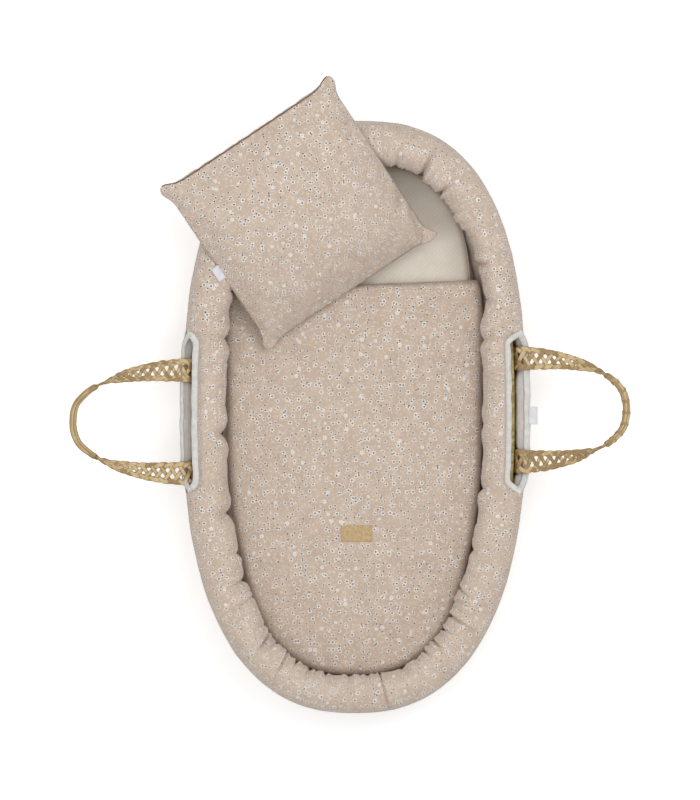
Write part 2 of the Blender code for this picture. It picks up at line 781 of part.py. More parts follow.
def build_mattress():
    """Make the foam core and its cover: top and bottom panels and the side band."""
    carrier = pivot("mattress_lift", (0.0, 0.0, 0.0))
    bottom = MATTRESS_FOOT
    top = bottom + MATTRESS_HEIGHT
    core_low = bottom + PANEL_THICKNESS + TOUCH
    core_high = top - PANEL_THICKNESS - TOUCH
    outer = -MATTRESS_INSET
    inner = outer - BAND_CLOTH
    underside = plate("mattress_bottom_panel", outer, bottom, bottom + PANEL_THICKNESS)
    add_piece("mattress_bottom_panel", underside, KNIT, carrier)
    add_piece("mattress_foam", plate("mattress_foam", inner - TOUCH, core_low, core_high), FOAM, carrier)
    profile = [(inner, core_low), (outer, core_low), (outer, core_high), (inner, core_high)]
    add_piece("mattress_side_band", swept_ring("mattress_side_band", profile), MESH_BAND, carrier)
    panel = plate("mattress_top_panel", outer, top - PANEL_THICKNESS, top)
    piece = add_piece("mattress_top_panel", panel, KNIT, carrier)
    edge = piece.modifiers.new("soft_edge", "BEVEL")
    edge.width = PANEL_THICKNESS / 2
    edge.segments = 1
    edge.limit_method = "ANGLE"


# Quilt

def quilt_ring(share, inset, height):
    """Return an oval of the quilt: a share of its size, at a height."""
    return [(point.x * share, point.y * share, height) for point in offset_ring(RIM, -QUILT_INSET - inset)]


def quilt_upper(inset):
    """Return the quilt's upper ovals from its edge to the flat middle, lowered and drawn in by an inset."""
    top = QUILT_FOOT + QUILT_THICKNESS - inset
    return [
        quilt_ring(1.0, inset, QUILT_FOOT + QUILT_THICKNESS - QUILT_EDGE_DROP),
        quilt_ring(QUILT_SHOULDER_SHARE, inset, top - QUILT_SHOULDER_DROP),
        quilt_ring(QUILT_FLAT_SHARE, inset, top),
    ]


def quilt_lower(inset, seam_gap):
    """Return the quilt's lower ovals, from its edge to the flat underside."""
    edge = QUILT_FOOT + QUILT_THICKNESS - QUILT_EDGE_DROP - seam_gap
    low = QUILT_FOOT + inset
    return [quilt_ring(1.0, inset, edge), quilt_ring(1.0, QUILT_FOOT_INSET + inset, low)]


def build_quilt():
    """Make the quilt's top cloth, filling, backing, head hem and the sewn patch."""
    carrier = pivot("quilt_lift", (0.0, 0.0, 0.0))
    head = Matrix.Translation((0.0, QUILT_HEAD_Y, 0.0)) @ Matrix.Rotation(QUILT_HEAD_TURN, 4, "Z")
    reach = PLAN_HALF_LENGTH
    past_head = box_mesh("quilt_head_cut", (-reach, 0.0, -OVERRUN), (reach, reach, reach))
    head_box = add_cutter("quilt_head_cut", past_head)
    head_box.matrix_world = head

    inset = CLOTH + TOUCH
    top = loft_mesh("quilt_top_cloth", quilt_upper(CLOTH)[::-1] + quilt_upper(0.0))
    filling = loft_mesh("quilt_filling", quilt_lower(inset, 0.0)[::-1] + quilt_upper(inset)[1:])
    backing = loft_mesh("quilt_backing", quilt_lower(CLOTH, TOUCH)[::-1] + quilt_lower(0.0, TOUCH))
    for name, mesh, look in (
        ("quilt_top_cloth", top, PRINT_CLOTH),
        ("quilt_filling", filling, WADDING),
        ("quilt_backing", backing, PLAIN_CLOTH),
    ):
        smooth(mesh, math.radians(60))
        cut(add_piece(name, mesh, look, carrier), head_box)

    whole = quilt_lower(0.0, 0.0)[::-1] + quilt_upper(0.0)[1:]
    hem = add_piece("quilt_head_hem", loft_mesh("quilt_head_hem", whole), PRINT_CLOTH, carrier)
    strip = box_mesh("quilt_hem_strip", (-reach, TOUCH, -OVERRUN), (reach, QUILT_HEM, reach))
    window = add_cutter("quilt_hem_strip", strip)
    window.matrix_world = head
    cut(hem, window, "INTERSECT")

    seat = QUILT_FOOT + QUILT_THICKNESS + TOUCH
    x, y = PATCH_CENTRE
    low = (x - PATCH_WIDTH / 2, y - PATCH_DEPTH / 2, seat)
    high = (x + PATCH_WIDTH / 2, y + PATCH_DEPTH / 2, seat + PATCH_THICKNESS)
    add_piece("quilt_patch", box_mesh("quilt_patch", low, high), KRAFT, carrier)


# Cushion

def pillow_mesh(name, inset, seam):
    """Return a square pillow: a crowned upper and lower sheet whose sides draw in between the corners."""
    half = CUSHION_SIDE / 2 - seam
    crown = CUSHION_THICKNESS / 2 - inset
    builder = bmesh.new()
    bmesh.ops.create_grid(builder, x_segments=CUSHION_STEPS, y_segments=CUSHION_STEPS, size=1.0)
    for face in builder.faces[:]:
        by_reach = sorted(face.verts, key=lambda vert: abs(vert.co.x) + abs(vert.co.y))
        bmesh.utils.face_split(face, by_reach[0], by_reach[-1])
    for vert in builder.verts:
        s = math.sin(math.pi / 2 * vert.co.x)
        t = math.sin(math.pi / 2 * vert.co.y)
        fullness = max(0.0, (1 - s * s) * (1 - t * t)) ** CUSHION_FULLNESS_SHARE
        if abs(abs(vert.co.x) - 1) < TOUCH or abs(abs(vert.co.y) - 1) < TOUCH:
            fullness = 0.0
        x = s * (half - CUSHION_DRAW_IN * (1 - t * t))
        y = t * (half - CUSHION_DRAW_IN * (1 - s * s))
        vert.co = (x, y, crown * fullness)
    lower = bmesh.ops.duplicate(builder, geom=builder.verts[:] + builder.edges[:] + builder.faces[:])
    verts = [item for item in lower["geom"] if isinstance(item, bmesh.types.BMVert)]
    bmesh.ops.scale(builder, vec=(1.0, 1.0, -1.0), verts=verts)
    bmesh.ops.remove_doubles(builder, verts=builder.verts, dist=WELD)
    for vert in builder.verts:
        vert.co.z -= CUSHION_SAG * (vert.co.y / half) ** 2
    return mesh_from(builder, name)


def build_cushion():
    """Make the cushion's cover, inner pad, zip with its slider, and label."""
    carrier = pivot("cushion_lift", CUSHION_CENTRE, (0.0, 0.0, 0.0))
    place = Matrix.Translation(CUSHION_CENTRE)
    place = place @ Matrix.Rotation(CUSHION_TURN, 4, "Z") @ Matrix.Rotation(CUSHION_TILT, 4, "X")
    carrier.matrix_world = place

    dents = {}
    for name, growth in (("cover", TOUCH), ("hollow", TOUCH + CLOTH), ("pad", TOUCH * 2 + CLOTH)):
        dents[name] = add_cutter("roll_dent_" + name, swept_ring("roll_dent_" + name, roll_envelope(growth)))

    hollow = add_cutter("cushion_hollow", pillow_mesh("cushion_hollow", CLOTH, CUSHION_SEAM), carrier)
    cut(hollow, dents["hollow"])
    half_zip = ZIP_LENGTH / 2
    edge = CUSHION_SIDE / 2 - CUSHION_DRAW_IN
    tape_low = edge - ZIP_SETBACK
    level = -CUSHION_SAG * (edge / (CUSHION_SIDE / 2)) ** 2
    slot_low = (-half_zip, tape_low - ZIP_POCKET, level - ZIP_SLOT / 2)
    slot_high = (half_zip, edge + OVERRUN, level + ZIP_SLOT / 2)
    slot = add_cutter("cushion_zip_slot", box_mesh("cushion_zip_slot", slot_low, slot_high), carrier)
    cover = add_piece("cushion_cover", pillow_mesh("cushion_cover", 0.0, 0.0), PRINT_CLOTH, carrier)
    smooth(cover.data, math.radians(60))
    cut(cover, dents["cover"])
    cut(cover, hollow)
    cut(cover, slot)

    pad_inset = CLOTH + PAD_GAP
    inner = pillow_mesh("cushion_pad", pad_inset, CUSHION_SEAM + pad_inset)
    pad = add_piece("cushion_pad", inner, WADDING, carrier)
    cut(pad, dents["pad"])
    trim_low = (-half_zip - TOUCH, tape_low - TOUCH, -CUSHION_THICKNESS)
    trim_high = (half_zip + TOUCH, edge + OVERRUN, CUSHION_THICKNESS)
    cut(pad, add_cutter("cushion_pad_trim", box_mesh("cushion_pad_trim", trim_low, trim_high), carrier))

    thin = ZIP_SLOT / 2 - TOUCH
    tape_near = (TOUCH - half_zip, tape_low, level - thin)
    tape_far = (half_zip - TOUCH, tape_low + ZIP_TAPE, level + thin)
    add_piece("cushion_zip", box_mesh("cushion_zip", tape_near, tape_far), ZIP, carrier)
    slider_low = tape_low + ZIP_TAPE + TOUCH
    slider = box_mesh(
        "cushion_zip_slider",
        (-SLIDER_LENGTH / 2, slider_low, level - thin),
        (SLIDER_LENGTH / 2, slider_low + SLIDER_DEPTH, level + thin))
    slider_piece = add_piece("cushion_zip_slider", slider, ZIP, carrier)
    slider_piece.location.x = TOUCH - half_zip + SLIDER_LENGTH / 2

    tape = SIDE_LABEL_THICKNESS / 2
    low = (-CUSHION_LABEL_REACH, -CUSHION_LABEL_LENGTH / 2, -tape)
    high = (-TOUCH, CUSHION_LABEL_LENGTH / 2, tape)
    label = add_piece("cushion_label", box_mesh("cushion_label", low, high), WHITE_TAPE, carrier)
    label_x = CUSHION_DRAW_IN - CUSHION_SIDE / 2 + CUSHION_LABEL_TUCK
    label.location = (label_x, CUSHION_LABEL_PLACE, CUSHION_LABEL_LIFT)
    label.rotation_euler.y = CUSHION_LABEL_TILT


WALL_FOOT = BASE_THICKNESS + TOUCH
WALL_TOP = RIM_HEIGHT - RIM_RADIUS * math.cos(math.pi / RIM_SIDES) - TOUCH
LINING_FLOOR_TOP = WALL_FOOT + LINING_THICKNESS
MATTRESS_FOOT = LINING_FLOOR_TOP + TOUCH
QUILT_FOOT = MATTRESS_FOOT + MATTRESS_HEIGHT + TOUCH

clear_scene()
PIECES = collection("moses_basket")
CUTTERS = collection("cutters")
RIM = plan_ring()

build_basket()
build_lining()
build_roll()
build_skirt()
build_bindings()
build_side_label()
build_handles()
build_mattress()
build_quilt()
build_cushion()
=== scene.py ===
"""Moses basket with its cover, mattress, quilt and cushion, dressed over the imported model.

+X is the basket's right side, +Y its head end and +Z up, all in metres. Cross-sections of the wall and
cover are given by how far a point lies outside the rim's centre line, and by its height.
"""
import math

import bmesh
import bpy
import numpy as np
from mathutils import Matrix, Vector


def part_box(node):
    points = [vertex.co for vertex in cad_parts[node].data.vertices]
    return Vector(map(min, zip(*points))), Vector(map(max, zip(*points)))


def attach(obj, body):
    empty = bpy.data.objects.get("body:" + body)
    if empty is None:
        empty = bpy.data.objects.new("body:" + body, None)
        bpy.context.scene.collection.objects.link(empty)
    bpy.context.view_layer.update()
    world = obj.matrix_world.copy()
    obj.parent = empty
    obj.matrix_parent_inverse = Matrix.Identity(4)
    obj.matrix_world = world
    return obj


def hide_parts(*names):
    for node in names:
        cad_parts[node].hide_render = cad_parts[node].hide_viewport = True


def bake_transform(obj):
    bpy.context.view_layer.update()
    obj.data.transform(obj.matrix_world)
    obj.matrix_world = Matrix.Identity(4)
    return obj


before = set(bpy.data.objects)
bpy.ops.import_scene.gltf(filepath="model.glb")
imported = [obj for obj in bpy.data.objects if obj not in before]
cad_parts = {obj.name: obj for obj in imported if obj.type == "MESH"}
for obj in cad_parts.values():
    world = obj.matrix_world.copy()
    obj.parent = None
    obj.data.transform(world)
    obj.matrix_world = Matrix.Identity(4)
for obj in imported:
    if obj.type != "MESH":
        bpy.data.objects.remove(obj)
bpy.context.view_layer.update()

# Plan of the covered basket
HALF_WIDTH = 0.2425
HALF_LENGTH = 0.42
HEAD_ROUNDNESS = 2.68
FOOT_ROUNDNESS = 2.4
RIM_INSET = 0.0205

# Heights and sections
RIM_HEIGHT = 0.180
RIM_RADIUS = 0.006
WALL_FLARE = 0.040
WALL_FOOT = 0.0103
WALL_TOP = 0.1742
WALL_THICKNESS = 0.008
LINING_THICKNESS = 0.004
LINING_TOP = 0.158
ROLL_MIDDLE = -0.00975
ROLL_REACH = 0.03025
ROLL_CENTRE_HEIGHT = 0.187
ROLL_HALF_HEIGHT = 0.029
HEM_HEIGHT = 0.066
HEM_INSET = 0.0085
SLOT_LOW = -0.1075
SLOT_HIGH = 0.1215
SLOT_RAMP = 0.034
SLOT_ARCH = 0.017
EDGE_OUTSET = 0.0235
EDGE_HEIGHT = 0.176
MATTRESS_INSET = 0.049
MATTRESS_LOW = 0.0146
MATTRESS_TOP = 0.0986
QUILT_LOW = 0.0989
QUILT_TOP = 0.1349
QUILT_HEAD_TURN = math.radians(2.1)
CUSHION_CENTRE = (-0.0775, 0.2855, 0.214)
CUSHION_TURN = math.radians(33.7)
CUSHION_TILT = math.radians(19)
CUSHION_SIDE = 0.282

# Corners of a face, in order
SQUARE = ((0, 0), (1, 0), (1, 1), (0, 1))


def smoothstep(value):
    """Ease a share between 0 and 1."""
    value = np.clip(value, 0.0, 1.0)
    return value * value * (3 - 2 * value)


def lerp(start, end, share):
    """Return the value a share of the way from start to end."""
    return start + (end - start) * share


def wander(positions, length, seed, octaves=3):
    """Return a smooth random line of values about 0 at these positions, with waves of about that length."""
    random = np.random.default_rng(seed)
    total = np.zeros_like(positions)
    for octave in range(octaves):
        for _ in range(4):
            wave = length / 2 ** octave * random.uniform(0.75, 1.35)
            total += np.sin(positions / wave * math.tau + random.uniform(0, math.tau)) * 0.5 ** octave / 4
    return total


def ring_wander(shares, waves, seed, octaves=3):
    """Return a smooth random line of values about 0 that closes on itself; shares run from 0 to 1."""
    random = np.random.default_rng(seed)
    total = np.zeros_like(shares)
    for octave in range(octaves):
        for _ in range(4):
            count = max(1, round(waves * 2 ** octave * random.uniform(0.75, 1.35)))
            total += np.sin(shares * count * math.tau + random.uniform(0, math.tau)) * 0.5 ** octave / 4
    return total


def run_lengths(points):
    """Return how far along an open line each of its points lies."""
    return np.concatenate([[0.0], np.cumsum(np.linalg.norm(np.diff(points, axis=0), axis=1))])


def resampled(points, reach, wanted):
    """Return a line's places at the wanted distances; reach says how far along it each of its points lies."""
    return np.stack([np.interp(wanted, reach, column) for column in points.T], axis=-1)


def eased(line, times):
    """Smooth an open line, with its ends held."""
    for _ in range(times):
        line[1:-1] = 0.5 * line[1:-1] + 0.25 * (line[:-2] + line[2:])
    return line


def eased_loop(line, times):
    """Smooth a closed line."""
    for _ in range(times):
        line = 0.5 * line + 0.25 * (np.roll(line, 1, axis=0) + np.roll(line, -1, axis=0))
    return line


# Plan

def plan(angle):
    """Return the outline's points at these angles of its own."""
    power = 2 / np.where(np.sin(angle) >= 0, HEAD_ROUNDNESS, FOOT_ROUNDNESS)
    x = HALF_WIDTH * np.sign(np.cos(angle)) * np.abs(np.cos(angle)) ** power
    y = HALF_LENGTH * np.sign(np.sin(angle)) * np.abs(np.sin(angle)) ** power
    return np.stack([x, y], axis=-1)


class Ring:
    """Stations round the basket at equal spacing, counter-clockwise from the middle of the right side."""

    def __init__(self, count):
        fine = plan(np.linspace(0, math.tau, 6001))
        reach = run_lengths(fine)
        self.count = count
        self.length = reach[-1]
        self.share = np.arange(count) / count
        self.outline = resampled(fine, reach, self.share * reach[-1])
        along = np.roll(self.outline, -1, axis=0) - np.roll(self.outline, 1, axis=0)
        along /= np.linalg.norm(along, axis=1, keepdims=True)
        self.normal = np.stack([along[:, 1], -along[:, 0]], axis=-1)
        self.y = self.outline[:, 1]
        self.right = self.outline[:, 0] > 0

    def place(self, outset, height, keep=slice(None)):
        """Return points at an outset from the rim's line and a height, for arrays over the kept stations."""
        outset, height = np.broadcast_arrays(np.asarray(outset, float), np.asarray(height, float))
        if outset.ndim == 0:
            outset = np.full(self.count, outset)
            height = np.full(self.count, height)
        extra = (None,) * (outset.ndim - 1)
        base = self.outline[keep][(slice(None), *extra, slice(None))]
        normal = self.normal[keep][(slice(None), *extra, slice(None))]
        flat = base + normal * (outset - RIM_INSET)[..., None]
        return np.concatenate([flat, height[..., None]], axis=-1)

    def opened(self, ramp=SLOT_RAMP, power=1.1):
        """Return how far the cover is slit open at each station, from 0 to 1."""
        near = np.minimum(self.y - SLOT_LOW, SLOT_HIGH - self.y) / ramp
        share = np.sin(np.clip(near, 0, 1) * math.pi / 2) ** power
        return np.where(np.abs(self.outline[:, 0]) > HALF_WIDTH / 2, share, 0.0)

    def slot(self, side, least=0.0):
        """Return the stations of the left (-1) or right (1) slot that are open by more than that share."""
        keep = np.where((self.opened() > least) & (self.right == (side > 0)))[0]
        return keep[np.argsort(self.y[keep])]


def wall_middle(height):
    """Return how far out the wall's middle lies at a height."""
    return -WALL_FLARE * (WALL_TOP - height) / (WALL_TOP - WALL_FOOT)


# Meshes

def box_middle(node):
    """Return the middle of a CAD node's box."""
    low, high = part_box(node)
    return np.array([(a + b) / 2 for a, b in zip(low, high)])


def linked(name, data):
    """Return a new object of the scene with that data."""
    piece = bpy.data.objects.new(name, data)
    bpy.context.scene.collection.objects.link(piece)
    return piece


def grid(name, points, uv, wrap_u=False, wrap_v=False, outward=True):
    """Return an object skinned over rows of points, with uv in metres at the corners of its faces."""
    rows, columns = points.shape[:2]
    u = np.arange(rows if wrap_u else rows - 1)[:, None]
    v = np.arange(columns if wrap_v else columns - 1)[None, :]

    def at(i, j):
        return (i % rows) * columns + j % columns

    quads = np.stack(np.broadcast_arrays(at(u, v), at(u + 1, v), at(u + 1, v + 1), at(u, v + 1)), axis=-1)
    mesh = bpy.data.meshes.new(name)
    mesh.from_pydata(points.reshape(-1, 3).tolist(), [], quads.reshape(-1, 4).tolist())
    corners = np.stack([uv[:-1, :-1], uv[1:, :-1], uv[1:, 1:], uv[:-1, 1:]], axis=2)
    mesh.uv_layers.new(name="cloth").data.foreach_set("uv", corners.astype(np.float32).reshape(-1))
    if outward:
        face_out(mesh)
    mesh.shade_smooth()
    return linked(name, mesh)


def face_out(mesh):
    """Turn a mesh's faces outwards."""
    builder = bmesh.new()
    builder.from_mesh(mesh)
    bmesh.ops.recalc_face_normals(builder, faces=builder.faces)
    builder.to_mesh(mesh)
    builder.free()


def close_holes(piece):
    """Fill a piece's open ends."""
    builder = bmesh.new()
    builder.from_mesh(piece.data)
    rims = [edge for edge in builder.edges if edge.is_boundary]
    bmesh.ops.holes_fill(builder, edges=rims, sides=0)
    bmesh.ops.recalc_face_normals(builder, faces=builder.faces)
    builder.to_mesh(piece.data)
    builder.free()
    piece.data.shade_smooth()
    return piece


def joined(name, pieces):
    """Join several objects into one of that name."""
    vertices = []
    faces = []
    uvs = []
    tones = []
    for piece in pieces:
        mesh = piece.data
        start = len(vertices)
        world = piece.matrix_world
        vertices += [tuple(world @ vertex.co) for vertex in mesh.vertices]
        faces += [[start + k for k in face.vertices] for face in mesh.polygons]
        layer = np.zeros(len(mesh.loops) * 2, np.float32)
        mesh.uv_layers["cloth"].data.foreach_get("uv", layer)
        uvs.append(layer)
        tone = np.full(len(mesh.vertices), 0.5, np.float32)
        if "tone" in mesh.attributes:
            mesh.attributes["tone"].data.foreach_get("value", tone)
        tones.append(tone)
    mesh = bpy.data.meshes.new(name)
    mesh.from_pydata(vertices, [], faces)
    mesh.uv_layers.new(name="cloth").data.foreach_set("uv", np.concatenate(uvs))
    mesh.attributes.new("tone", "FLOAT", "POINT").data.foreach_set("value", np.concatenate(tones))
    mesh.shade_smooth()
    for piece in pieces:
        old = piece.data
        bpy.data.objects.remove(piece, do_unlink=True)
        bpy.data.meshes.remove(old)
    return linked(name, mesh)


def toned(piece, tone):
    """Give a piece's vertices a tone from 0 to 1, which its material reads."""
    mesh = piece.data
    values = np.broadcast_to(np.asarray(tone, np.float32), (len(mesh.vertices),))
    layer = mesh.attributes.get("tone") or mesh.attributes.new("tone", "FLOAT", "POINT")
    layer.data.foreach_set("value", np.ascontiguousarray(values))
    return piece


def coordinates(mesh):
    """Return a mesh's vertices as an array."""
    values = np.empty(len(mesh.vertices) * 3, np.float32)
    mesh.vertices.foreach_get("co", values)
    return values.reshape(-1, 3).astype(float)


def set_coordinates(mesh, values):
    """Move a mesh's vertices to these places."""
    mesh.vertices.foreach_set("co", np.asarray(values, np.float32).reshape(-1))
    mesh.update()


def thicken(piece, thickness, offset=-1.0):
    """Give a sheet its thickness."""
    solid = piece.modifiers.new("thickness", "SOLIDIFY")
    solid.thickness = thickness
    solid.offset = offset
    return piece


def rope_mesh(name, path, normals, section, closed=False, tone=0.5):
    """Sweep closed sections along a path.

    path is (n, 3); normals are the directions of the section's second axis; section is (n, m, 2) or (m, 2).
    """
    path = np.asarray(path, float)
    count = len(path)
    if closed:
        along = np.roll(path, -1, axis=0) - np.roll(path, 1, axis=0)
    else:
        along = np.gradient(path, axis=0)
    along /= np.linalg.norm(along, axis=1, keepdims=True)
    normals = normals - along * np.sum(normals * along, axis=1, keepdims=True)
    normals /= np.linalg.norm(normals, axis=1, keepdims=True)
    across = np.cross(along, normals)
    section = np.broadcast_to(section, (count, *np.shape(section)[-2:]))
    points = path[:, None] + across[:, None] * section[..., :1] + normals[:, None] * section[..., 1:]
    steps = np.linalg.norm(np.diff(path, axis=0, append=path[:1] if closed else path[-1:]), axis=1)
    reach = np.concatenate([[0.0], np.cumsum(steps)])[:count + (1 if closed else 0)]
    around = np.arange(section.shape[1] + 1) / section.shape[1]
    girth = np.linalg.norm(np.diff(section[0], axis=0, append=section[0, :1]), axis=1).sum()
    uv = np.stack(np.meshgrid(reach, around * girth, indexing="ij"), axis=-1)
    piece = grid(name, points, uv, wrap_u=closed, wrap_v=True, outward=False)
    if not closed:
        builder = bmesh.new()
        builder.from_mesh(piece.data)
        builder.verts.ensure_lookup_table()
        size = section.shape[1]
        builder.faces.new(builder.verts[:size])
        builder.faces.new(builder.verts[-size:])
        builder.to_mesh(piece.data)
        builder.free()
    face_out(piece.data)
    piece.data.shade_smooth()
    return toned(piece, tone)


def oval(width, height, sides=10, power=2.0):
    """Return a rounded section of that full width and height."""
    angle = np.arange(sides) / sides * math.tau
    x = np.sign(np.cos(angle)) * np.abs(np.cos(angle)) ** (2 / power) * width / 2
    y = np.sign(np.sin(angle)) * np.abs(np.sin(angle)) ** (2 / power) * height / 2
    return np.stack([x, y], axis=-1)


# Materials

def colour(red, green, blue):
    """Return a linear colour with alpha from a display colour in 0 to 255."""
    values = [value / 255 for value in (red, green, blue)]
    return (*[v / 12.92 if v <= 0.04045 else ((v + 0.055) / 1.055) ** 2.4 for v in values], 1.0)


class Tree:
    """Short calls for building one node tree."""

    def __init__(self, tree):
        self.tree = tree

    def add(self, kind, inputs=None, **settings):
        """Add a node; inputs go by name or index and hold a value or another node's output."""
        node = self.tree.nodes.new(kind)
        for key, value in settings.items():
            setattr(node, key, value)
        for key, value in (inputs or {}).items():
            if isinstance(value, bpy.types.NodeSocket):
                self.tree.links.new(value, node.inputs[key])
            else:
                node.inputs[key].default_value = value
        return node

    def maths(self, operation, a, b=0.0, c=0.0, clamp=False):
        """Add a Math node and return its output."""
        return self.add("ShaderNodeMath", {0: a, 1: b, 2: c}, operation=operation, use_clamp=clamp).outputs[0]

    def ramp(self, value, low, high, start=0.0, end=1.0):
        """Map a value smoothly from one range to another."""
        inputs = {"Value": value, "From Min": low, "From Max": high, "To Min": start, "To Max": end}
        return self.add("ShaderNodeMapRange", inputs, interpolation_type="SMOOTHSTEP").outputs["Result"]

    def mixed(self, share, a, b, blend_type="MIX"):
        """Mix two colours."""
        node = self.add("ShaderNodeMix", {0: share, 6: a, 7: b}, data_type="RGBA", blend_type=blend_type)
        return node.outputs[2]

    def noise(self, vector, scale, detail=2.0, roughness=0.5):
        """Return the value of a noise texture."""
        inputs = {"Vector": vector, "Scale": scale, "Detail": detail, "Roughness": roughness}
        return self.add("ShaderNodeTexNoise", inputs).outputs[0]

    def stretched(self, vector, scale):
        """Scale a vector by three factors."""
        return self.vectors("MULTIPLY", vector, scale)

    def vectors(self, operation, a, b):
        """Add a Vector Math node and return its output."""
        return self.add("ShaderNodeVectorMath", {0: a, 1: b}, operation=operation).outputs[0]

    def turned(self, vector, angle):
        """Turn flat coordinates by an angle."""
        inputs = {"Vector": vector, "Angle": angle}
        return self.add("ShaderNodeVectorRotate", inputs, rotation_type="Z_AXIS").outputs[0]

    def waves(self, vector, pitch, direction="X", more=None):
        """Return the height of bands of that pitch."""
        inputs = {"Vector": vector, "Scale": 0.5 / pitch / 3.1416, **(more or {})}
        return self.add("ShaderNodeTexWave", inputs, bands_direction=direction).outputs["Fac"]

    def cloth_uv(self):
        """Return the piece's own flat coordinates, in metres."""
        return self.add("ShaderNodeUVMap", uv_map="cloth").outputs[0]

    def tone(self):
        """Return the piece's tone from 0 to 1."""
        return self.add("ShaderNodeAttribute", attribute_name="tone").outputs["Fac"]


def material(name, roughness=0.9, sheen=0.0):
    """Start a material; return (material, Tree, shader)."""
    made = bpy.data.materials.new(name)
    made.use_nodes = True
    tree = Tree(made.node_tree)
    shader = made.node_tree.nodes["Principled BSDF"]
    shader.inputs["Roughness"].default_value = roughness
    shader.inputs["Sheen Weight"].default_value = sheen
    shader.inputs["Sheen Roughness"].default_value = 0.5
    shader.inputs["Specular IOR Level"].default_value = 0.25
    return made, tree, shader


def put(tree, shader, base=None, height=None, strength=0.5, distance=0.001, rough=None):
    """Join a colour, a height for bump and a roughness to the shader."""
    if base is not None:
        tree.tree.links.new(base, shader.inputs["Base Color"])
    if height is not None:
        inputs = {"Strength": strength, "Distance": distance, "Height": height}
        bump = tree.add("ShaderNodeBump", inputs)
        tree.tree.links.new(bump.outputs[0], shader.inputs["Normal"])
    if rough is not None:
        tree.tree.links.new(rough, shader.inputs["Roughness"])


def weave(tree, vector, pitch):
    """Return the height of a plain weave of that thread pitch."""
    return tree.maths("ADD", tree.waves(vector, pitch, "X"), tree.waves(vector, pitch, "Y"))


def sprinkle(tree, vector, cell, shift, randomness=0.9):
    """Scatter one mark in each cell: return (distance in metres, angle, three random values)."""
    moved = tree.vectors("ADD", vector, (shift, shift * 0.7, 0.0))
    scaled = tree.stretched(moved, (1 / cell, 1 / cell, 0.0))
    inputs = {"Vector": scaled, "Scale": 1.0, "Randomness": randomness}
    cells = tree.add("ShaderNodeTexVoronoi", inputs, voronoi_dimensions="2D")
    parts = tree.add("ShaderNodeSeparateXYZ", {0: tree.vectors("SUBTRACT", scaled, cells.outputs["Position"])})
    chance = tree.add("ShaderNodeSeparateColor", {0: cells.outputs["Color"]})
    distance = tree.maths("MULTIPLY", cells.outputs["Distance"], cell)
    angle = tree.maths("ARCTAN2", parts.outputs[1], parts.outputs[0])
    angle = tree.maths("MULTIPLY_ADD", chance.outputs[0], math.tau, angle)
    return distance, angle, chance.outputs


def blossoms(tree, sprinkled, radius, petals, soft, most):
    """Return how strongly a small flower shows, and its radius: petals round each mark."""
    distance, angle, chance = sprinkled
    lobes = tree.maths("ABSOLUTE", tree.maths("COSINE", tree.maths("MULTIPLY", angle, petals / 2)))
    size = tree.maths("MULTIPLY_ADD", chance[1], 0.5 * radius, 0.72 * radius)
    reach = tree.maths("MULTIPLY", size, tree.maths("MULTIPLY_ADD", lobes, 0.5, 0.5))
    shown = tree.ramp(tree.maths("SUBTRACT", reach, distance), -soft, soft)
    kept = tree.maths("LESS_THAN", chance[2], most)
    return tree.maths("MULTIPLY", shown, kept), size


def leaflet(tree, sprinkled, length, width, soft, most):
    """Return how strongly a small leaf shows: an ellipse turned at random."""
    distance, angle, chance = sprinkled
    along = tree.maths("MULTIPLY", distance, tree.maths("COSINE", angle))
    across = tree.maths("MULTIPLY", distance, tree.maths("SINE", angle))
    along = tree.maths("POWER", tree.maths("DIVIDE", along, length / 2), 2.0)
    across = tree.maths("POWER", tree.maths("DIVIDE", across, width / 2), 2.0)
    reach = tree.maths("SQRT", tree.maths("ADD", along, across))
    shown = tree.ramp(reach, 1.0 - soft, 1.0 + soft, 1.0, 0.0)
    return tree.maths("MULTIPLY", shown, tree.maths("LESS_THAN", chance[2], most))


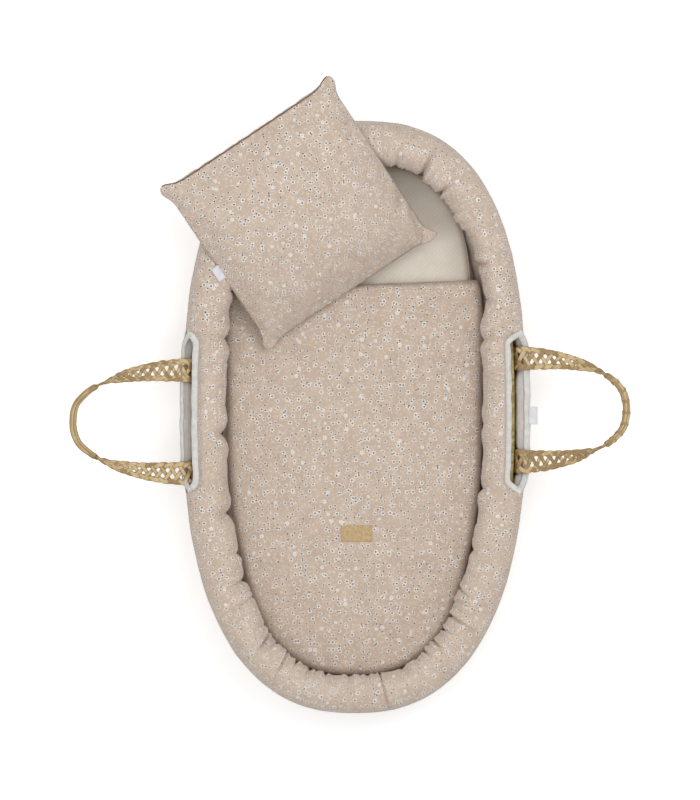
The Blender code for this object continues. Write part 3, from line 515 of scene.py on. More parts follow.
def ditsy_group():
    """Make the print's node group once: tiny white flowers and leaves scattered over beige cloth."""
    group = bpy.data.node_groups.new("ditsy_print", "ShaderNodeTree")
    group.interface.new_socket("Vector", in_out="INPUT", socket_type="NodeSocketVector")
    group.interface.new_socket("Color", in_out="OUTPUT", socket_type="NodeSocketColor")
    tree = Tree(group)
    vector = tree.add("NodeGroupInput").outputs[0]
    wobble = tree.add("ShaderNodeTexNoise", {"Vector": vector, "Scale": 350.0, "Detail": 1.0})
    nudge = tree.vectors("MULTIPLY", wobble.outputs["Color"], (0.0009, 0.0009, 0.0))
    vector = tree.vectors("ADD", vector, nudge)

    ground = colour(196, 176, 159)
    warm = colour(203, 184, 167)
    patches = tree.noise(vector, 45.0, 2.0)
    base = tree.mixed(tree.ramp(patches, 0.35, 0.65), ground, warm)

    for cell, shift, length, width, most, ink, strength in (
        (0.0034, 0.31, 0.0026, 0.0007, 0.46, colour(217, 202, 186), 0.70),
        (0.0047, 0.83, 0.0034, 0.0008, 0.52, colour(232, 222, 211), 0.80),
        (0.0066, 1.37, 0.0038, 0.0009, 0.50, colour(234, 226, 217), 0.80),
        (0.0058, 2.93, 0.0030, 0.0008, 0.46, colour(178, 156, 138), 0.55),
    ):
        share = leaflet(tree, sprinkle(tree, vector, cell, shift), length, width, 0.22, most)
        base = tree.mixed(tree.maths("MULTIPLY", share, strength), base, ink)

    sprig, _ = blossoms(tree, sprinkle(tree, vector, 0.0145, 2.11), 0.0025, 6, 0.0003, 0.50)
    base = tree.mixed(tree.maths("MULTIPLY", sprig, 0.45), base, colour(229, 222, 217))

    for cell, shift, radius, most, dark_most in (
        (0.0108, 3.17, 0.0027, 0.80, 0.77),
        (0.0150, 4.41, 0.0026, 0.66, 0.58),
    ):
        spots = sprinkle(tree, vector, cell, shift, 0.80)
        flower, size = blossoms(tree, spots, radius, 5, 0.0003, most)
        base = tree.mixed(tree.maths("MULTIPLY", flower, 0.95), base, colour(243, 239, 235))
        beyond = tree.maths("SUBTRACT", spots[0], tree.maths("MULTIPLY", size, 0.42))
        ring = tree.ramp(beyond, 0.0, 0.0004, 1.0, 0.0)
        ring = tree.maths("MULTIPLY", ring, tree.maths("MULTIPLY", flower, 0.55))
        base = tree.mixed(ring, base, colour(176, 174, 178))
        heart = tree.ramp(spots[0], 0.0010, 0.0014, 1.0, 0.0)
        heart = tree.maths("MULTIPLY", heart, tree.maths("LESS_THAN", spots[2][2], dark_most))
        brown = tree.maths("GREATER_THAN", spots[2][1], 0.6)
        ink = tree.mixed(brown, colour(30, 30, 38), colour(52, 34, 26))
        base = tree.mixed(heart, base, ink)
    tree.add("NodeGroupOutput", {0: base})
    return group


def printed_material(name, group):
    """Return the printed cotton."""
    made, tree, shader = material(name, 0.9, 0.25)
    uv = tree.cloth_uv()
    ink = tree.add("ShaderNodeGroup", {0: uv}, node_tree=group).outputs[0]
    shade = tree.noise(uv, 22.0, 3.0)
    ink = tree.mixed(1.0, ink, tree.mixed(shade, (0.93, 0.93, 0.93, 1), (1.05, 1.05, 1.05, 1)), "MULTIPLY")
    fibres = tree.noise(uv, 900.0, 2.0)
    height = tree.maths("MULTIPLY_ADD", weave(tree, uv, 0.0006), 0.5, fibres)
    soft = tree.noise(uv, 60.0, 3.0)
    height = tree.maths("MULTIPLY_ADD", soft, 2.0, height)
    put(tree, shader, ink, height, 0.35, 0.0006, tree.ramp(fibres, 0.3, 0.7, 0.84, 0.95))
    return made


def cotton_material(name, ink, dark, pitch=0.0005, strength=0.4):
    """Return a plain woven cloth or tape."""
    made, tree, shader = material(name, 0.88, 0.2)
    uv = tree.cloth_uv()
    patches = tree.noise(uv, 120.0, 3.0)
    base = tree.mixed(tree.ramp(patches, 0.3, 0.7), colour(*dark), colour(*ink))
    fibres = tree.noise(uv, 700.0, 2.0)
    height = tree.maths("ADD", weave(tree, uv, pitch), fibres)
    put(tree, shader, base, height, strength, 0.0005, tree.ramp(fibres, 0.3, 0.7, 0.8, 0.93))
    return made


def palm_material(name, light, middle, dark):
    """Return dried palm leaf: fine fibres along each strip, a colour of its own for each, and a darker brown
    where a piece's tone is high, partly random tone and partly painted shade.
    """
    made, tree, shader = material(name, 0.62)
    shader.inputs["Specular IOR Level"].default_value = 0.35
    uv = tree.cloth_uv()
    tone = tree.tone()
    streaks = tree.noise(tree.stretched(uv, (45.0, 1500.0, 1.0)), 1.0, 3.0, 0.6)
    blots = tree.noise(uv, 55.0, 3.0, 0.6)
    base = tree.mixed(tree.ramp(streaks, 0.25, 0.75), colour(*middle), colour(*light))
    # A high tone turns the leaf darker brown: random tone of the leaf, and painted shade where pieces raise the
    # tone in gaps and under crossings.
    brown_and_shade = tree.ramp(tree.maths("ADD", tone, tree.maths("MULTIPLY_ADD", blots, 0.8, -0.4)), 0.25, 0.85)
    base = tree.mixed(brown_and_shade, base, tree.mixed(streaks, colour(*dark), colour(*middle)))
    flecks = tree.ramp(tree.noise(tree.stretched(uv, (160.0, 900.0, 1.0)), 1.0, 2.0), 0.66, 0.78)
    base = tree.mixed(tree.maths("MULTIPLY", flecks, 0.55), base, colour(104, 74, 44))
    height = tree.maths("MULTIPLY_ADD", streaks, 1.0, tree.maths("MULTIPLY", blots, 0.4))
    put(tree, shader, base, height, 0.5, 0.0006, tree.ramp(streaks, 0.3, 0.7, 0.72, 0.5))
    return made


def knit_material(name, ink, dark, pitch, slope):
    """Return the mattress cover's fine diagonal rib."""
    made, tree, shader = material(name, 0.92, 0.2)
    uv = tree.cloth_uv()
    turned = tree.turned(uv, slope)
    ribs = tree.waves(turned, pitch, more={"Distortion": 3.5, "Detail": 2.0, "Detail Scale": 2.0})
    loops = tree.add("ShaderNodeTexVoronoi", {"Vector": turned, "Scale": 1 / 0.0016}, voronoi_dimensions="2D")
    cells = loops.outputs["Distance"]
    height = tree.maths("MULTIPLY_ADD", cells, -0.5, ribs)
    patches = tree.noise(uv, 30.0, 3.0)
    share = tree.maths("MULTIPLY_ADD", patches, 0.75, tree.maths("MULTIPLY", ribs, 0.2))
    base = tree.mixed(tree.ramp(share, 0.2, 0.75), colour(*dark), colour(*ink))
    put(tree, shader, base, height, 0.30, 0.0005, tree.ramp(cells, 0.0, 0.6, 0.95, 0.85))
    return made


def mesh_band_material(name):
    """Return the open spacer mesh of the mattress's side band."""
    made, tree, shader = material(name, 0.85, 0.1)
    uv = tree.cloth_uv()
    holes = tree.add("ShaderNodeTexVoronoi", {"Vector": uv, "Scale": 1 / 0.0024, "Randomness": 0.15},
                     voronoi_dimensions="2D").outputs["Distance"]
    patches = tree.noise(uv, 60.0, 2.0)
    # The holes are darker: painted shade inside the mesh.
    base = tree.mixed(tree.ramp(holes, 0.18, 0.34), colour(150, 128, 122), colour(214, 194, 188))
    base = tree.mixed(tree.maths("MULTIPLY", patches, 0.35), base, colour(178, 158, 150))
    put(tree, shader, base, tree.ramp(holes, 0.15, 0.4), 0.7, 0.0007, tree.ramp(holes, 0.1, 0.4, 0.95, 0.8))
    return made


def kraft_material(name):
    """Return the sewn patch's washed kraft paper."""
    made, tree, shader = material(name, 0.68)
    uv = tree.cloth_uv()
    creases = tree.noise(uv, 260.0, 4.0, 0.65)
    grain = tree.noise(uv, 1500.0, 2.0)
    base = tree.mixed(tree.ramp(creases, 0.3, 0.7), colour(176, 148, 108), colour(201, 176, 136))
    height = tree.maths("MULTIPLY_ADD", creases, 1.0, tree.maths("MULTIPLY", grain, 0.4))
    put(tree, shader, base, height, 0.45, 0.0005, tree.ramp(creases, 0.3, 0.7, 0.6, 0.78))
    return made


def thread_material(name, ink, dark):
    """Return twisted sewing thread or cord."""
    made, tree, shader = material(name, 0.7, 0.2)
    uv = tree.cloth_uv()
    twist = tree.waves(tree.turned(uv, 0.7), 0.0006)
    base = tree.mixed(twist, colour(*dark), colour(*ink))
    put(tree, shader, base, twist, 0.5, 0.0002, tree.ramp(twist, 0.0, 1.0, 0.8, 0.62))
    return made


PRINT = printed_material("printed_cotton_look", ditsy_group())
PLAIN = cotton_material("plain_cotton_look", (238, 235, 230), (228, 224, 218))
BINDING = cotton_material("binding_look", (229, 228, 224), (214, 212, 207), 0.0006, 0.5)
TAPE = cotton_material("label_look", (232, 232, 236), (218, 218, 224), 0.0004, 0.35)
PALM = palm_material("palm_look", (220, 199, 156), (190, 163, 117), (116, 84, 48))
RIM_PALM = palm_material("palm_rim_look", (205, 186, 128), (183, 160, 104), (140, 114, 66))
KNIT = knit_material("mattress_knit_look", (234, 227, 215), (222, 213, 199), 0.0022, 0.7)
MESH_BAND = mesh_band_material("mattress_band_look")
KRAFT = kraft_material("kraft_look")
# The cushion's seam cord, dark brown: painted shade along the seam.
SEAM_SHADE_CORD = thread_material("seam_shade_cord_look", (112, 84, 66), (74, 54, 42))
SEAM_PRINT = thread_material("print_piping_look", (206, 182, 170), (178, 150, 136))
ZIP_LOOK = thread_material("zip_look", (176, 148, 126), (140, 114, 94))


def dress(piece, look, body, *nodes, finish=None):
    """Give a piece its material, body and the nodes that it stands for; finish is not used."""
    piece.data.materials.clear()
    piece.data.materials.append(look)
    if body:
        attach(piece, body)
    if nodes:
        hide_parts(*nodes)
    return piece


# Cover: padded roll

def arc_lengths(points, wrap=False):
    """Return how far along its row each point lies, in metres, for points of shape (rows, columns, 3)."""
    steps = np.linalg.norm(np.diff(points, axis=1, append=points[:, :1] if wrap else points[:, -1:]), axis=2)
    reach = np.concatenate([np.zeros((len(points), 1)), np.cumsum(steps, axis=1)], axis=1)
    return reach if wrap else reach[:, :-1]


def ring_uv(ring, points, wrap=False):
    """Return flat coordinates for a closed band: along the ring, and along each section from its middle."""
    reach = arc_lengths(points, wrap).mean(axis=0)
    along = np.concatenate([ring.share, [1.0]]) * ring.length
    return np.stack(np.broadcast_arrays(along[:, None], reach[None, :]), axis=-1)


# Creases of the roll: x, y of the place on its inner edge, depth, half width, how far up they reach
# as a share of the section, and slant
CREASES = (
    (-0.188, 0.112, 0.0046, 0.0075, 0.70, 0.10),
    (-0.185, -0.023, 0.0062, 0.0085, 0.55, -0.10),
    (-0.182, -0.136, 0.0055, 0.0080, 0.62, 0.15),
    (-0.178, -0.196, 0.0030, 0.0050, 0.50, 0.00),
    (-0.170, -0.236, 0.0042, 0.0050, 0.62, 0.25),
    (-0.160, -0.262, 0.0024, 0.0030, 0.70, 0.30),
    (-0.131, -0.314, 0.0062, 0.0022, 0.72, 0.55),
    (-0.120, -0.330, 0.0022, 0.0026, 0.60, -0.20),
    (-0.106, -0.346, 0.0056, 0.0020, 0.72, 0.42),
    (-0.088, -0.356, 0.0048, 0.0026, 0.44, 0.15),
    (-0.066, -0.366, 0.0018, 0.0030, 0.60, 0.00),
    (-0.042, -0.373, 0.0044, 0.0026, 0.42, 0.10),
    (-0.008, -0.377, 0.0014, 0.0036, 0.50, 0.00),
    (0.036, -0.366, 0.0044, 0.0016, 0.90, 0.15),
    (0.072, -0.356, 0.0016, 0.0030, 0.60, 0.20),
    (0.107, -0.341, 0.0052, 0.0024, 0.48, 0.15),
    (0.121, -0.325, 0.0042, 0.0020, 0.62, -0.18),
    (0.134, -0.307, 0.0046, 0.0022, 0.50, 0.10),
    (0.148, -0.288, 0.0052, 0.0020, 0.74, -0.12),
    (0.158, -0.270, 0.0026, 0.0028, 0.80, 0.45),
    (0.168, -0.251, 0.0050, 0.0028, 0.58, -0.60),
    (0.178, -0.190, 0.0022, 0.0060, 0.60, 0.20),
    (0.178, -0.102, 0.0034, 0.0060, 0.66, 0.00),
    (0.179, -0.010, 0.0018, 0.0070, 0.50, 0.10),
    (0.178, 0.109, 0.0036, 0.0060, 0.66, 0.00),
    (0.178, 0.165, 0.0020, 0.0045, 0.50, -0.10),
    (0.175, 0.217, 0.0064, 0.0046, 0.60, -0.20),
    (0.165, 0.262, 0.0022, 0.0050, 0.55, -0.10),
    (0.152, 0.296, 0.0026, 0.0045, 0.60, 0.10),
    (0.1355, 0.329, 0.0066, 0.0036, 0.58, 0.05),
    (0.098, 0.349, 0.0075, 0.0048, 0.72, 0.12),
    (0.060, 0.366, 0.0030, 0.0050, 0.62, 0.00),
    (0.020, 0.378, 0.0034, 0.0050, 0.60, 0.00),
    (-0.030, 0.377, 0.0036, 0.0050, 0.64, 0.00),
    (-0.080, 0.362, 0.0040, 0.0050, 0.66, 0.00),
    (-0.120, 0.338, 0.0036, 0.0050, 0.60, 0.00),
    (-0.150, 0.300, 0.0038, 0.0050, 0.62, 0.00),
    (-0.170, 0.246, 0.0044, 0.0060, 0.60, 0.00),
    (-0.180, 0.180, 0.0030, 0.0060, 0.55, 0.00),
)

# Columns of the roll's section: over the top, and back below it
UPPER = 34
UNDER = 8
SLOT_END_ANGLE = math.radians(38)
HANDLE_PIVOT_Y = {"left": -0.007, "right": 0.010}
HANDLE_SPAN = 0.147
# How much further out the left slot's inner edge lies
LEFT_SHIFT = 0.0090
BINDING_SECTION = (0.0106, 0.0050)
FACING_COLUMNS = 22
CLOTH_THICKNESS = 0.0009
TAPE_THICKNESS = 0.0004
# Stretches where the roll is drawn in: x, y of their middle, how far, and half length
DRAWS = ((0.000, -0.400, 0.0070, 0.190), (0.225, 0.215, 0.0110, 0.075), (-0.190, 0.300, 0.0030, 0.080))


def roll_profile(ring):
    """Return the roll's closed section: (outset, height), each (stations, columns)."""
    opened = ring.opened(SLOT_ARCH, 0.7)[:, None]
    reach = np.full((ring.count, 1), ROLL_REACH)
    for x, y, drawn, half in DRAWS:
        off = np.hypot(ring.outline[:, 0] - x, ring.outline[:, 1] - y)
        reach[:, 0] -= drawn * smoothstep(1.35 - off / half / 1.1)
    over = np.linspace(246, 0, UPPER)[None, :]
    angle = np.radians(over + lerp(5, 20, opened) * np.linspace(0, 1, UPPER) ** 3)
    edge = np.where(ring.right, 0.0037, 0.0037 + LEFT_SHIFT)[:, None]
    width = np.where(np.cos(angle) < 0, reach, lerp(ROLL_REACH, edge, opened))
    outset = ROLL_MIDDLE + width * np.cos(angle)
    height = ROLL_CENTRE_HEIGHT + ROLL_HALF_HEIGHT * np.sin(angle)
    shut = np.array([(.0185, .1874), (.0125, .1868), (.0055, .1868), (-.002, .1868),
                     (-.0066, .1856), (-.0078, .178), (-.0095, .169), (-.0115, .161)])
    slit = np.array([(-.0068, .1945), (-.0070, .1915), (-.0071, .1885), (-.0073, .1855),
                     (-.0076, .181), (-.0082, .175), (-.0096, .167), (-.0115, .161)])
    under = lerp(shut[None], slit[None], opened[..., None])
    shift = np.where(ring.right, 0.0, LEFT_SHIFT)[:, None] * opened * np.linspace(1, 0, UNDER)[None, :] ** 2
    under[..., 0] += shift
    return np.concatenate([outset, under[..., 0]], axis=1), np.concatenate([height, under[..., 1]], axis=1)


def crease_depths(ring, shares):
    """Return how deep the roll's creases are at each station and section share."""
    depth = np.zeros((ring.count, len(shares)))
    inner = ring.place(-0.038, 0.0)[:, :2]
    along = ring.share[:, None] * ring.length
    random = np.random.default_rng(7)
    creases = list(CREASES)
    for _ in range(120):
        at = inner[random.integers(ring.count)]
        curved = min(1.0, max(0.0, (abs(at[1]) - 0.15) / 0.12))
        creases.append((at[0], at[1], random.uniform(0.0003, 0.0007 + 0.0010 * curved),
                        random.uniform(0.0018, 0.0042), random.uniform(0.35, 0.55 + 0.3 * curved),
                        random.uniform(-0.3, 0.3)))
    for x, y, deep, half, reach, slant in creases:
        centre = along[np.argmin((inner[:, 0] - x) ** 2 + (inner[:, 1] - y) ** 2), 0]
        off = (along - centre + ring.length / 2) % ring.length - ring.length / 2
        off = off - slant * (shares[None, :] - 0.3) * 0.06
        wide = half * (1.15 - 0.60 * shares[None, :])
        groove = np.exp(-(np.abs(off) / wide) ** 1.1)
        puff = 0.26 * np.exp(-((np.abs(off) - 2.3 * wide) / (1.5 * wide)) ** 2)
        fade = smoothstep((reach + 0.16 - shares) / 0.40)[None, :]
        depth += 1.35 * deep * (groove - puff) * fade
    return depth


def build_roll():
    """Make the padded roll over the rim, drawn in by creases along its inner edge."""
    ring = Ring(2100)
    outset, height = roll_profile(ring)
    count = UPPER + UNDER
    shares = np.concatenate([np.linspace(0, 1, UPPER), np.linspace(1, 0, UNDER + 2)[1:-1]])
    section = np.stack([outset, height], axis=-1)
    along = np.roll(section, -1, axis=1) - np.roll(section, 1, axis=1)
    along /= np.maximum(np.linalg.norm(along, axis=2, keepdims=True), 1e-9)
    normal = np.stack([-along[..., 1], along[..., 0]], axis=-1)
    upper = np.arange(count) < UPPER
    weight = np.where(upper, smoothstep(shares / 0.16) * smoothstep((1.02 - shares) / 0.22), 0.0)[None, :]
    depth = crease_depths(ring, shares) * weight
    lumps = ring_wander(ring.share, 21, 3, 2)[:, None] * np.exp(-((shares - 0.36) / 0.22) ** 2)[None, :]
    lumps *= 0.0026
    lumps += ring_wander(ring.share, 34, 5, 2)[:, None] * 0.0008 * np.sin(shares * math.pi)[None, :]
    moved = section + normal * ((lumps * weight - depth) * np.where(upper, 1.0, 0.0)[None, :])[..., None]
    points = ring.place(moved[..., 0], moved[..., 1])
    roll = grid("roll", points, ring_uv(ring, points, wrap=True), wrap_u=True, wrap_v=True)
    dress(roll, PRINT, "basket", "roll_cover", "roll_wadding", finish="printed_cotton")


def slot_route(side):
    """Return one slot's bound edge as a closed line, and which way its tape faces."""
    ring = Ring(1150)
    opened = ring.opened()
    keep = ring.slot(side)
    outset, height = roll_profile(ring)
    end_out = ROLL_MIDDLE + ROLL_REACH * math.cos(SLOT_END_ANGLE)
    end_height = ROLL_CENTRE_HEIGHT + ROLL_HALF_HEIGHT * math.sin(SLOT_END_ANGLE) + 0.0012
    closed = (1 - ring.opened(SLOT_ARCH, 0.7)) ** 2
    edge_out = lerp(outset[:, UPPER - 1] + 0.0022, end_out, closed)
    edge_height = lerp(height[:, UPPER - 1] + 0.0036, end_height, closed)
    closed = (1 - opened) ** 2
    top_out = lerp(lerp(ROLL_MIDDLE + ROLL_REACH, EDGE_OUTSET, opened), end_out, closed)
    top_height = lerp(lerp(0.1885, EDGE_HEIGHT, opened), end_height, closed)
    on_roll = ring.place(edge_out[keep], edge_height[keep], keep)
    on_skirt = ring.place(top_out[keep], top_height[keep], keep)
    out = np.concatenate([ring.normal, np.zeros((ring.count, 1))], axis=1)[keep]
    up = np.array([0.0, 0.0, 1.0])
    route = np.concatenate([on_roll, on_skirt[::-1]])
    outer = up * 0.86 + out * 0.5 if side > 0 else up * 0.30 + out * 0.95
    lean = np.concatenate([up * 0.93 + out * 0.36, outer[::-1]])
    route = eased_loop(route, 5)
    lean = eased_loop(lean, 5)
    wave = np.arange(len(route)) / len(route)
    route[:, 2] += ring_wander(wave, 7, 31 + side, 2) * 0.0007
    route[:, 0] += ring_wander(wave, 9, 37 + side, 2) * 0.0007
    return route, lean


def build_bindings():
    """Bind each slot's edge with white bias tape."""
    for name, side in (("left", -1), ("right", 1)):
        route, lean = slot_route(side)
        tape = rope_mesh("binding_" + name, route, lean, oval(*BINDING_SECTION, 12, 2.6), closed=True)
        dress(tape, BINDING, "basket", "slot_binding_" + name, finish="white_binding")


def build_facings():
    """Make the plain facing that slopes inwards behind each slot's lower edge."""
    ring = Ring(1150)
    opened = ring.opened()
    for name, side in (("left", -1), ("right", 1)):
        keep = ring.slot(side, 0.05)
        depth = (np.linspace(0, 1, FACING_COLUMNS) ** 1.5)[None, :]
        slit = opened[keep][:, None]
        top_out = lerp(ROLL_MIDDLE + ROLL_REACH, EDGE_OUTSET, slit) - 0.0008
        tail = np.exp(-((np.abs(ring.y[keep] - HANDLE_PIVOT_Y[name]) - HANDLE_SPAN / 2) / 0.021) ** 4)[:, None]
        foot_out = lerp(0.0074, 0.0126, tail)
        fall = np.interp(depth, [0.0, 0.22, 0.40, 1.0], [0.0, 0.88, 1.0, 1.0])
        outset = top_out - (top_out - foot_out) * fall
        drop = np.interp(depth, [0.0, 0.22, 0.40, 1.0], [0.0, 0.0085, 0.019, 0.053])
        height = lerp(0.1870, EDGE_HEIGHT - 0.0010, slit) - drop
        wave = ring.y[keep][:, None]
        outset = outset + wander(wave + 0.35 * depth * 0.06, 0.034, 41 + side) * 0.0030 * depth * (1.1 - depth)
        points = ring.place(outset, height, keep)
        reach = arc_lengths(points)
        uv = np.stack([np.broadcast_to(ring.y[keep][:, None], reach.shape), reach], axis=-1)
        facing = grid("facing_" + name, points, uv, outward=False)
        dress(facing, PLAIN, "basket", "slot_facing_" + name, finish="plain_cotton")


# Cover: skirt

def build_skirt():
    """Hang the skirt outside in soft folds, gathered onto an elastic at its hem."""
    ring = Ring(1150)
    opened = ring.opened()[:, None]
    depth = np.linspace(0, 1, 30)[None, :]
    inset = np.interp(depth, [0.0, 0.16, 0.45, 0.75, 1.0], [0.0, 0.0, 0.3, 0.72, 1.0])
    top = lerp(0.0206, EDGE_OUTSET + 0.0008, opened)
    top_height = lerp(0.1886, EDGE_HEIGHT - 0.0012, opened)
    outset = lerp(top + 0.0015 * np.sin(math.pi * depth), -HEM_INSET, inset)
    height = lerp(top_height, HEM_HEIGHT, depth)
    share = ring.share
    shut = 1 - 0.75 * opened
    broad = ring_wander(share, 20, 51, 2)[:, None] * np.interp(depth, [0, 0.15, 0.7, 1], [0.0, 0.2, 1.0, 0.6])
    fine = np.abs(np.sin(math.pi * (share * 118 + 1.6 * ring_wander(share, 17, 53, 2))))[:, None] - 0.6
    fine = fine * (1 + 0.5 * ring_wander(share, 31, 55, 1))[:, None] * depth ** 3.2
    outset = outset + broad * 0.0052 * shut + fine * 0.0042
    hem = np.array([(-0.0006, -0.0022), (-0.0026, -0.0036), (-0.0052, -0.0026),
                    (-0.0056, 0.0010), (-0.0044, 0.0060)])
    last_out = outset[:, -1:] + hem[None, :, 0] - fine[:, -1:] * np.linspace(0.0, 0.0026, len(hem))[None, :]
    last_height = height[:, -1:] + hem[None, :, 1]
    outset = np.concatenate([outset, last_out], axis=1)
    height = np.concatenate([height, last_height], axis=1)
    points = ring.place(outset, height)
    skirt = grid("skirt", points, ring_uv(ring, points), wrap_u=True, outward=False)
    thicken(skirt, CLOTH_THICKNESS, 0.0)
    dress(skirt, PRINT, "basket", "cover_skirt", "hem_elastic", finish="printed_cotton")


def build_side_label():
    """Fold the small white tape that is sewn in at the right slot's outer edge."""
    low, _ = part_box("cover_label")
    middle = box_middle("cover_label")
    reach = np.array([-0.0040, -0.001, 0.003, 0.0062, 0.0078, 0.0082, 0.0078, 0.0062, 0.003, -0.001, -0.0040])
    lift = np.array([0.0007, 0.0008, 0.0010, 0.0009, 0.0006, 0.0, -0.0006, -0.0009, -0.0010, -0.0008, -0.0007])
    y = np.linspace(-0.0125, 0.0125, 14)
    sag = -0.10 * np.clip(reach, 0, None)
    points = np.stack(np.broadcast_arrays(
        low[0] + 0.0012 + reach[None, :],
        middle[1] + y[:, None],
        middle[2] + 0.0012 + (lift + sag)[None, :] + 0.0004 * np.sin(y * 380)[:, None]), axis=-1)
    uv = np.stack(np.broadcast_arrays(y[:, None], arc_lengths(points)), axis=-1)
    label = grid("side_label", points, uv, outward=False)
    thicken(label, TAPE_THICKNESS, 0.0)
    dress(label, TAPE, "basket", "cover_label", finish="white_label")


def build_lining():
    """Make the padded cloth that lines the basket's wall and floor."""
    ring = Ring(420)
    depth = np.linspace(0, 1, 26)[None, :]
    height = lerp(LINING_TOP - 0.0004, MATTRESS_LOW + 0.0006, depth)
    face = wall_middle(height) - WALL_THICKNESS / 2 - 0.0006
    puff = 0.0012 * np.abs(np.sin(math.pi * (ring.share * 60)))[:, None] * np.sin(math.pi * depth)
    inner = face - LINING_THICKNESS + 0.0006 - puff
    outset = np.concatenate([inner, face[:, ::-1] + 0 * inner[:, ::-1]], axis=1)
    full = np.concatenate([height + 0 * inner, height[:, ::-1] + 0 * inner], axis=1)
    points = ring.place(outset, full)
    wall = grid("lining_sides", points, ring_uv(ring, points, wrap=True), wrap_u=True, wrap_v=True)
    dress(wall, PRINT, "basket", "lining_wall", finish="printed_cotton")

    loop = ring.place(wall_middle(WALL_FOOT) - WALL_THICKNESS / 2 - 0.0008, 0.0)[:, :2]
    heights = ((1.0, 0.0125), (0.997, 0.0138), (0.985, 0.0142), (0.6, 0.0142), (0.25, 0.0142), (0.02, 0.0142))
    floor = pad("lining_bottom", loop, heights, tuple((share, 0.0106) for share, _ in heights[::-1]))
    dress(floor, PRINT, "basket", "lining_floor", finish="printed_cotton")


def pad(name, loop, *runs):
    """Return a closed body over an oval loop: each run is ((share of the loop, height), ...)."""
    rows = [np.concatenate([loop * share, np.full((len(loop), 1), height)], axis=1)
            for run in runs for share, height in run]
    points = np.stack(rows, axis=1)
    uv = np.concatenate([points[..., :2], points[:1, :, :2]], axis=0)
    return close_holes(grid(name, points, uv, wrap_u=True))


# Basket: rim, wall and base

RIM_WRAPS = 430
RIM_SIDES = 14
WALL_ROWS = {
    "lower": (WALL_FOOT, 0.0616),
    "middle": (0.0631, 0.1137),
    "upper": (0.1152, WALL_TOP - 0.0006),
}
PLAITS_ROUND = 200
BASE_COILS = 13


def build_rim():
    """Wind palm strips tightly round the rim."""
    ring = Ring(2400)
    around = np.arange(RIM_SIDES) / RIM_SIDES * math.tau
    turn = ring.share[:, None] * RIM_WRAPS + around[None, :] / math.tau
    bulge = np.abs(np.sin(math.pi * turn)) ** 0.6
    radius = RIM_RADIUS - 0.0011 + 0.0010 * bulge + 0.0002 * ring_wander(ring.share, 90, 61, 1)[:, None]
    points = ring.place(radius * np.cos(around), RIM_HEIGHT + radius * np.sin(around))
    rim = grid("rim", points, ring_uv(ring, points, wrap=True), wrap_u=True, wrap_v=True)
    tones = np.random.default_rng(62).random(RIM_WRAPS + 2)
    toned(rim, tones[np.floor(turn).astype(int)].reshape(-1))
    dress(rim, RIM_PALM, "basket", "basket_rim", finish="palm_leaf")


def plait_relief(along, across, pitch):
    """Return the relief of a diagonal plait, from 0 in its gaps to 1 on its strips, and each strip's number."""
    first = (along + across) / pitch
    second = (along - across) / pitch
    over = (np.floor(first) + np.floor(second)) % 2 == 0
    crown = np.sin(math.pi * (first % 1)) * np.sin(math.pi * (second % 1))
    crown = np.clip(crown, 0, 1) ** 0.45
    strip = np.where(over, np.floor(first), np.floor(second) + 500)
    return crown, strip


def build_wall():
    """Sew the wall from three rows of plait, each overlapping the next."""
    ring = Ring(1500)
    random = np.random.default_rng(71).random(4000)
    for name, (low, high) in WALL_ROWS.items():
        outer = np.linspace(0, 1, 30)
        height = low + (high - low) * outer
        along = ring.share[:, None] * ring.length
        crown, strip = plait_relief(along, (height - low)[None, :], ring.length / PLAITS_ROUND)
        edge = np.sqrt(np.clip(1 - (2 * outer - 1) ** 8, 0, 1))[None, :]
        face = wall_middle(height)[None, :] + edge * (WALL_THICKNESS / 2 - 0.0016 + 0.0015 * crown)
        back_height = height[::-4]
        back = wall_middle(back_height)[None, :] - WALL_THICKNESS / 2 + 0.0002 + 0 * crown[:, ::-4]
        outset = np.concatenate([face, back], axis=1)
        heights = np.concatenate([height + 0 * face, back_height + 0 * back], axis=1)
        points = ring.place(outset, heights)
        row = grid("wall_" + name, points, ring_uv(ring, points, wrap=True), wrap_u=True, wrap_v=True)
        # Random tone for each strip, plus painted shade that darkens the gaps between the strips.
        shade = 0.05 + 0.45 * random[strip.astype(int) % 4000] + 0.7 * (1 - crown) ** 1.5
        tone = np.concatenate([shade, np.full(back.shape, 0.5)], axis=1)
        toned(row, tone.reshape(-1))
        dress(row, PALM, "basket", "wall_row_" + name, finish="palm_leaf")


def build_base():
    """Plait the base as one flat oval coil of sewn rows."""
    loop = Ring(700)
    edge = loop.place(wall_middle(WALL_FOOT) + WALL_THICKNESS / 2 - 0.0005, 0.0)[:, :2]
    low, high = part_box("basket_base")
    share = np.linspace(1.0, 0.04, 90)
    rows = np.abs(np.sin(math.pi * share * BASE_COILS)) ** 0.5
    stitch = 0.5 + 0.5 * np.cos(loop.share[:, None] * 420 * math.pi + share[None, :] * 60)
    relief = 0.0007 * rows[None, :] * (0.6 + 0.4 * stitch)
    relief[:, :1] = 0.0
    under = low[2] + 0.0009 - relief
    over = high[2] - 0.0012 + relief
    flat = edge[:, None, :] * share[None, :, None]
    bottom = np.concatenate([flat, under[..., None]], axis=-1)
    top = np.concatenate([flat, over[..., None]], axis=-1)
    points = np.concatenate([bottom[:, ::-1], top], axis=1)
    rows = np.concatenate([share[::-1], share])
    round_it = np.concatenate([loop.share, [1.0]]) * loop.length
    uv = np.stack(np.broadcast_arrays(round_it[:, None], rows[None, :] * 0.2), axis=-1)
    base = close_holes(grid("base", points, uv, wrap_u=True))
    toned(base, np.tile(0.5 + 0.3 * np.sin(rows * 41), loop.count))
    dress(base, PALM, "basket", "basket_base", finish="palm_leaf")


# Handles

HANDLE_REACH = {"left": 0.1888, "right": 0.186}
HANDLE_ROUNDNESS = 2.4
# Shares of the way from the root to the grip's middle: where the band ends and where it starts to turn
BAND_END = 0.72
TURN_START = 0.42
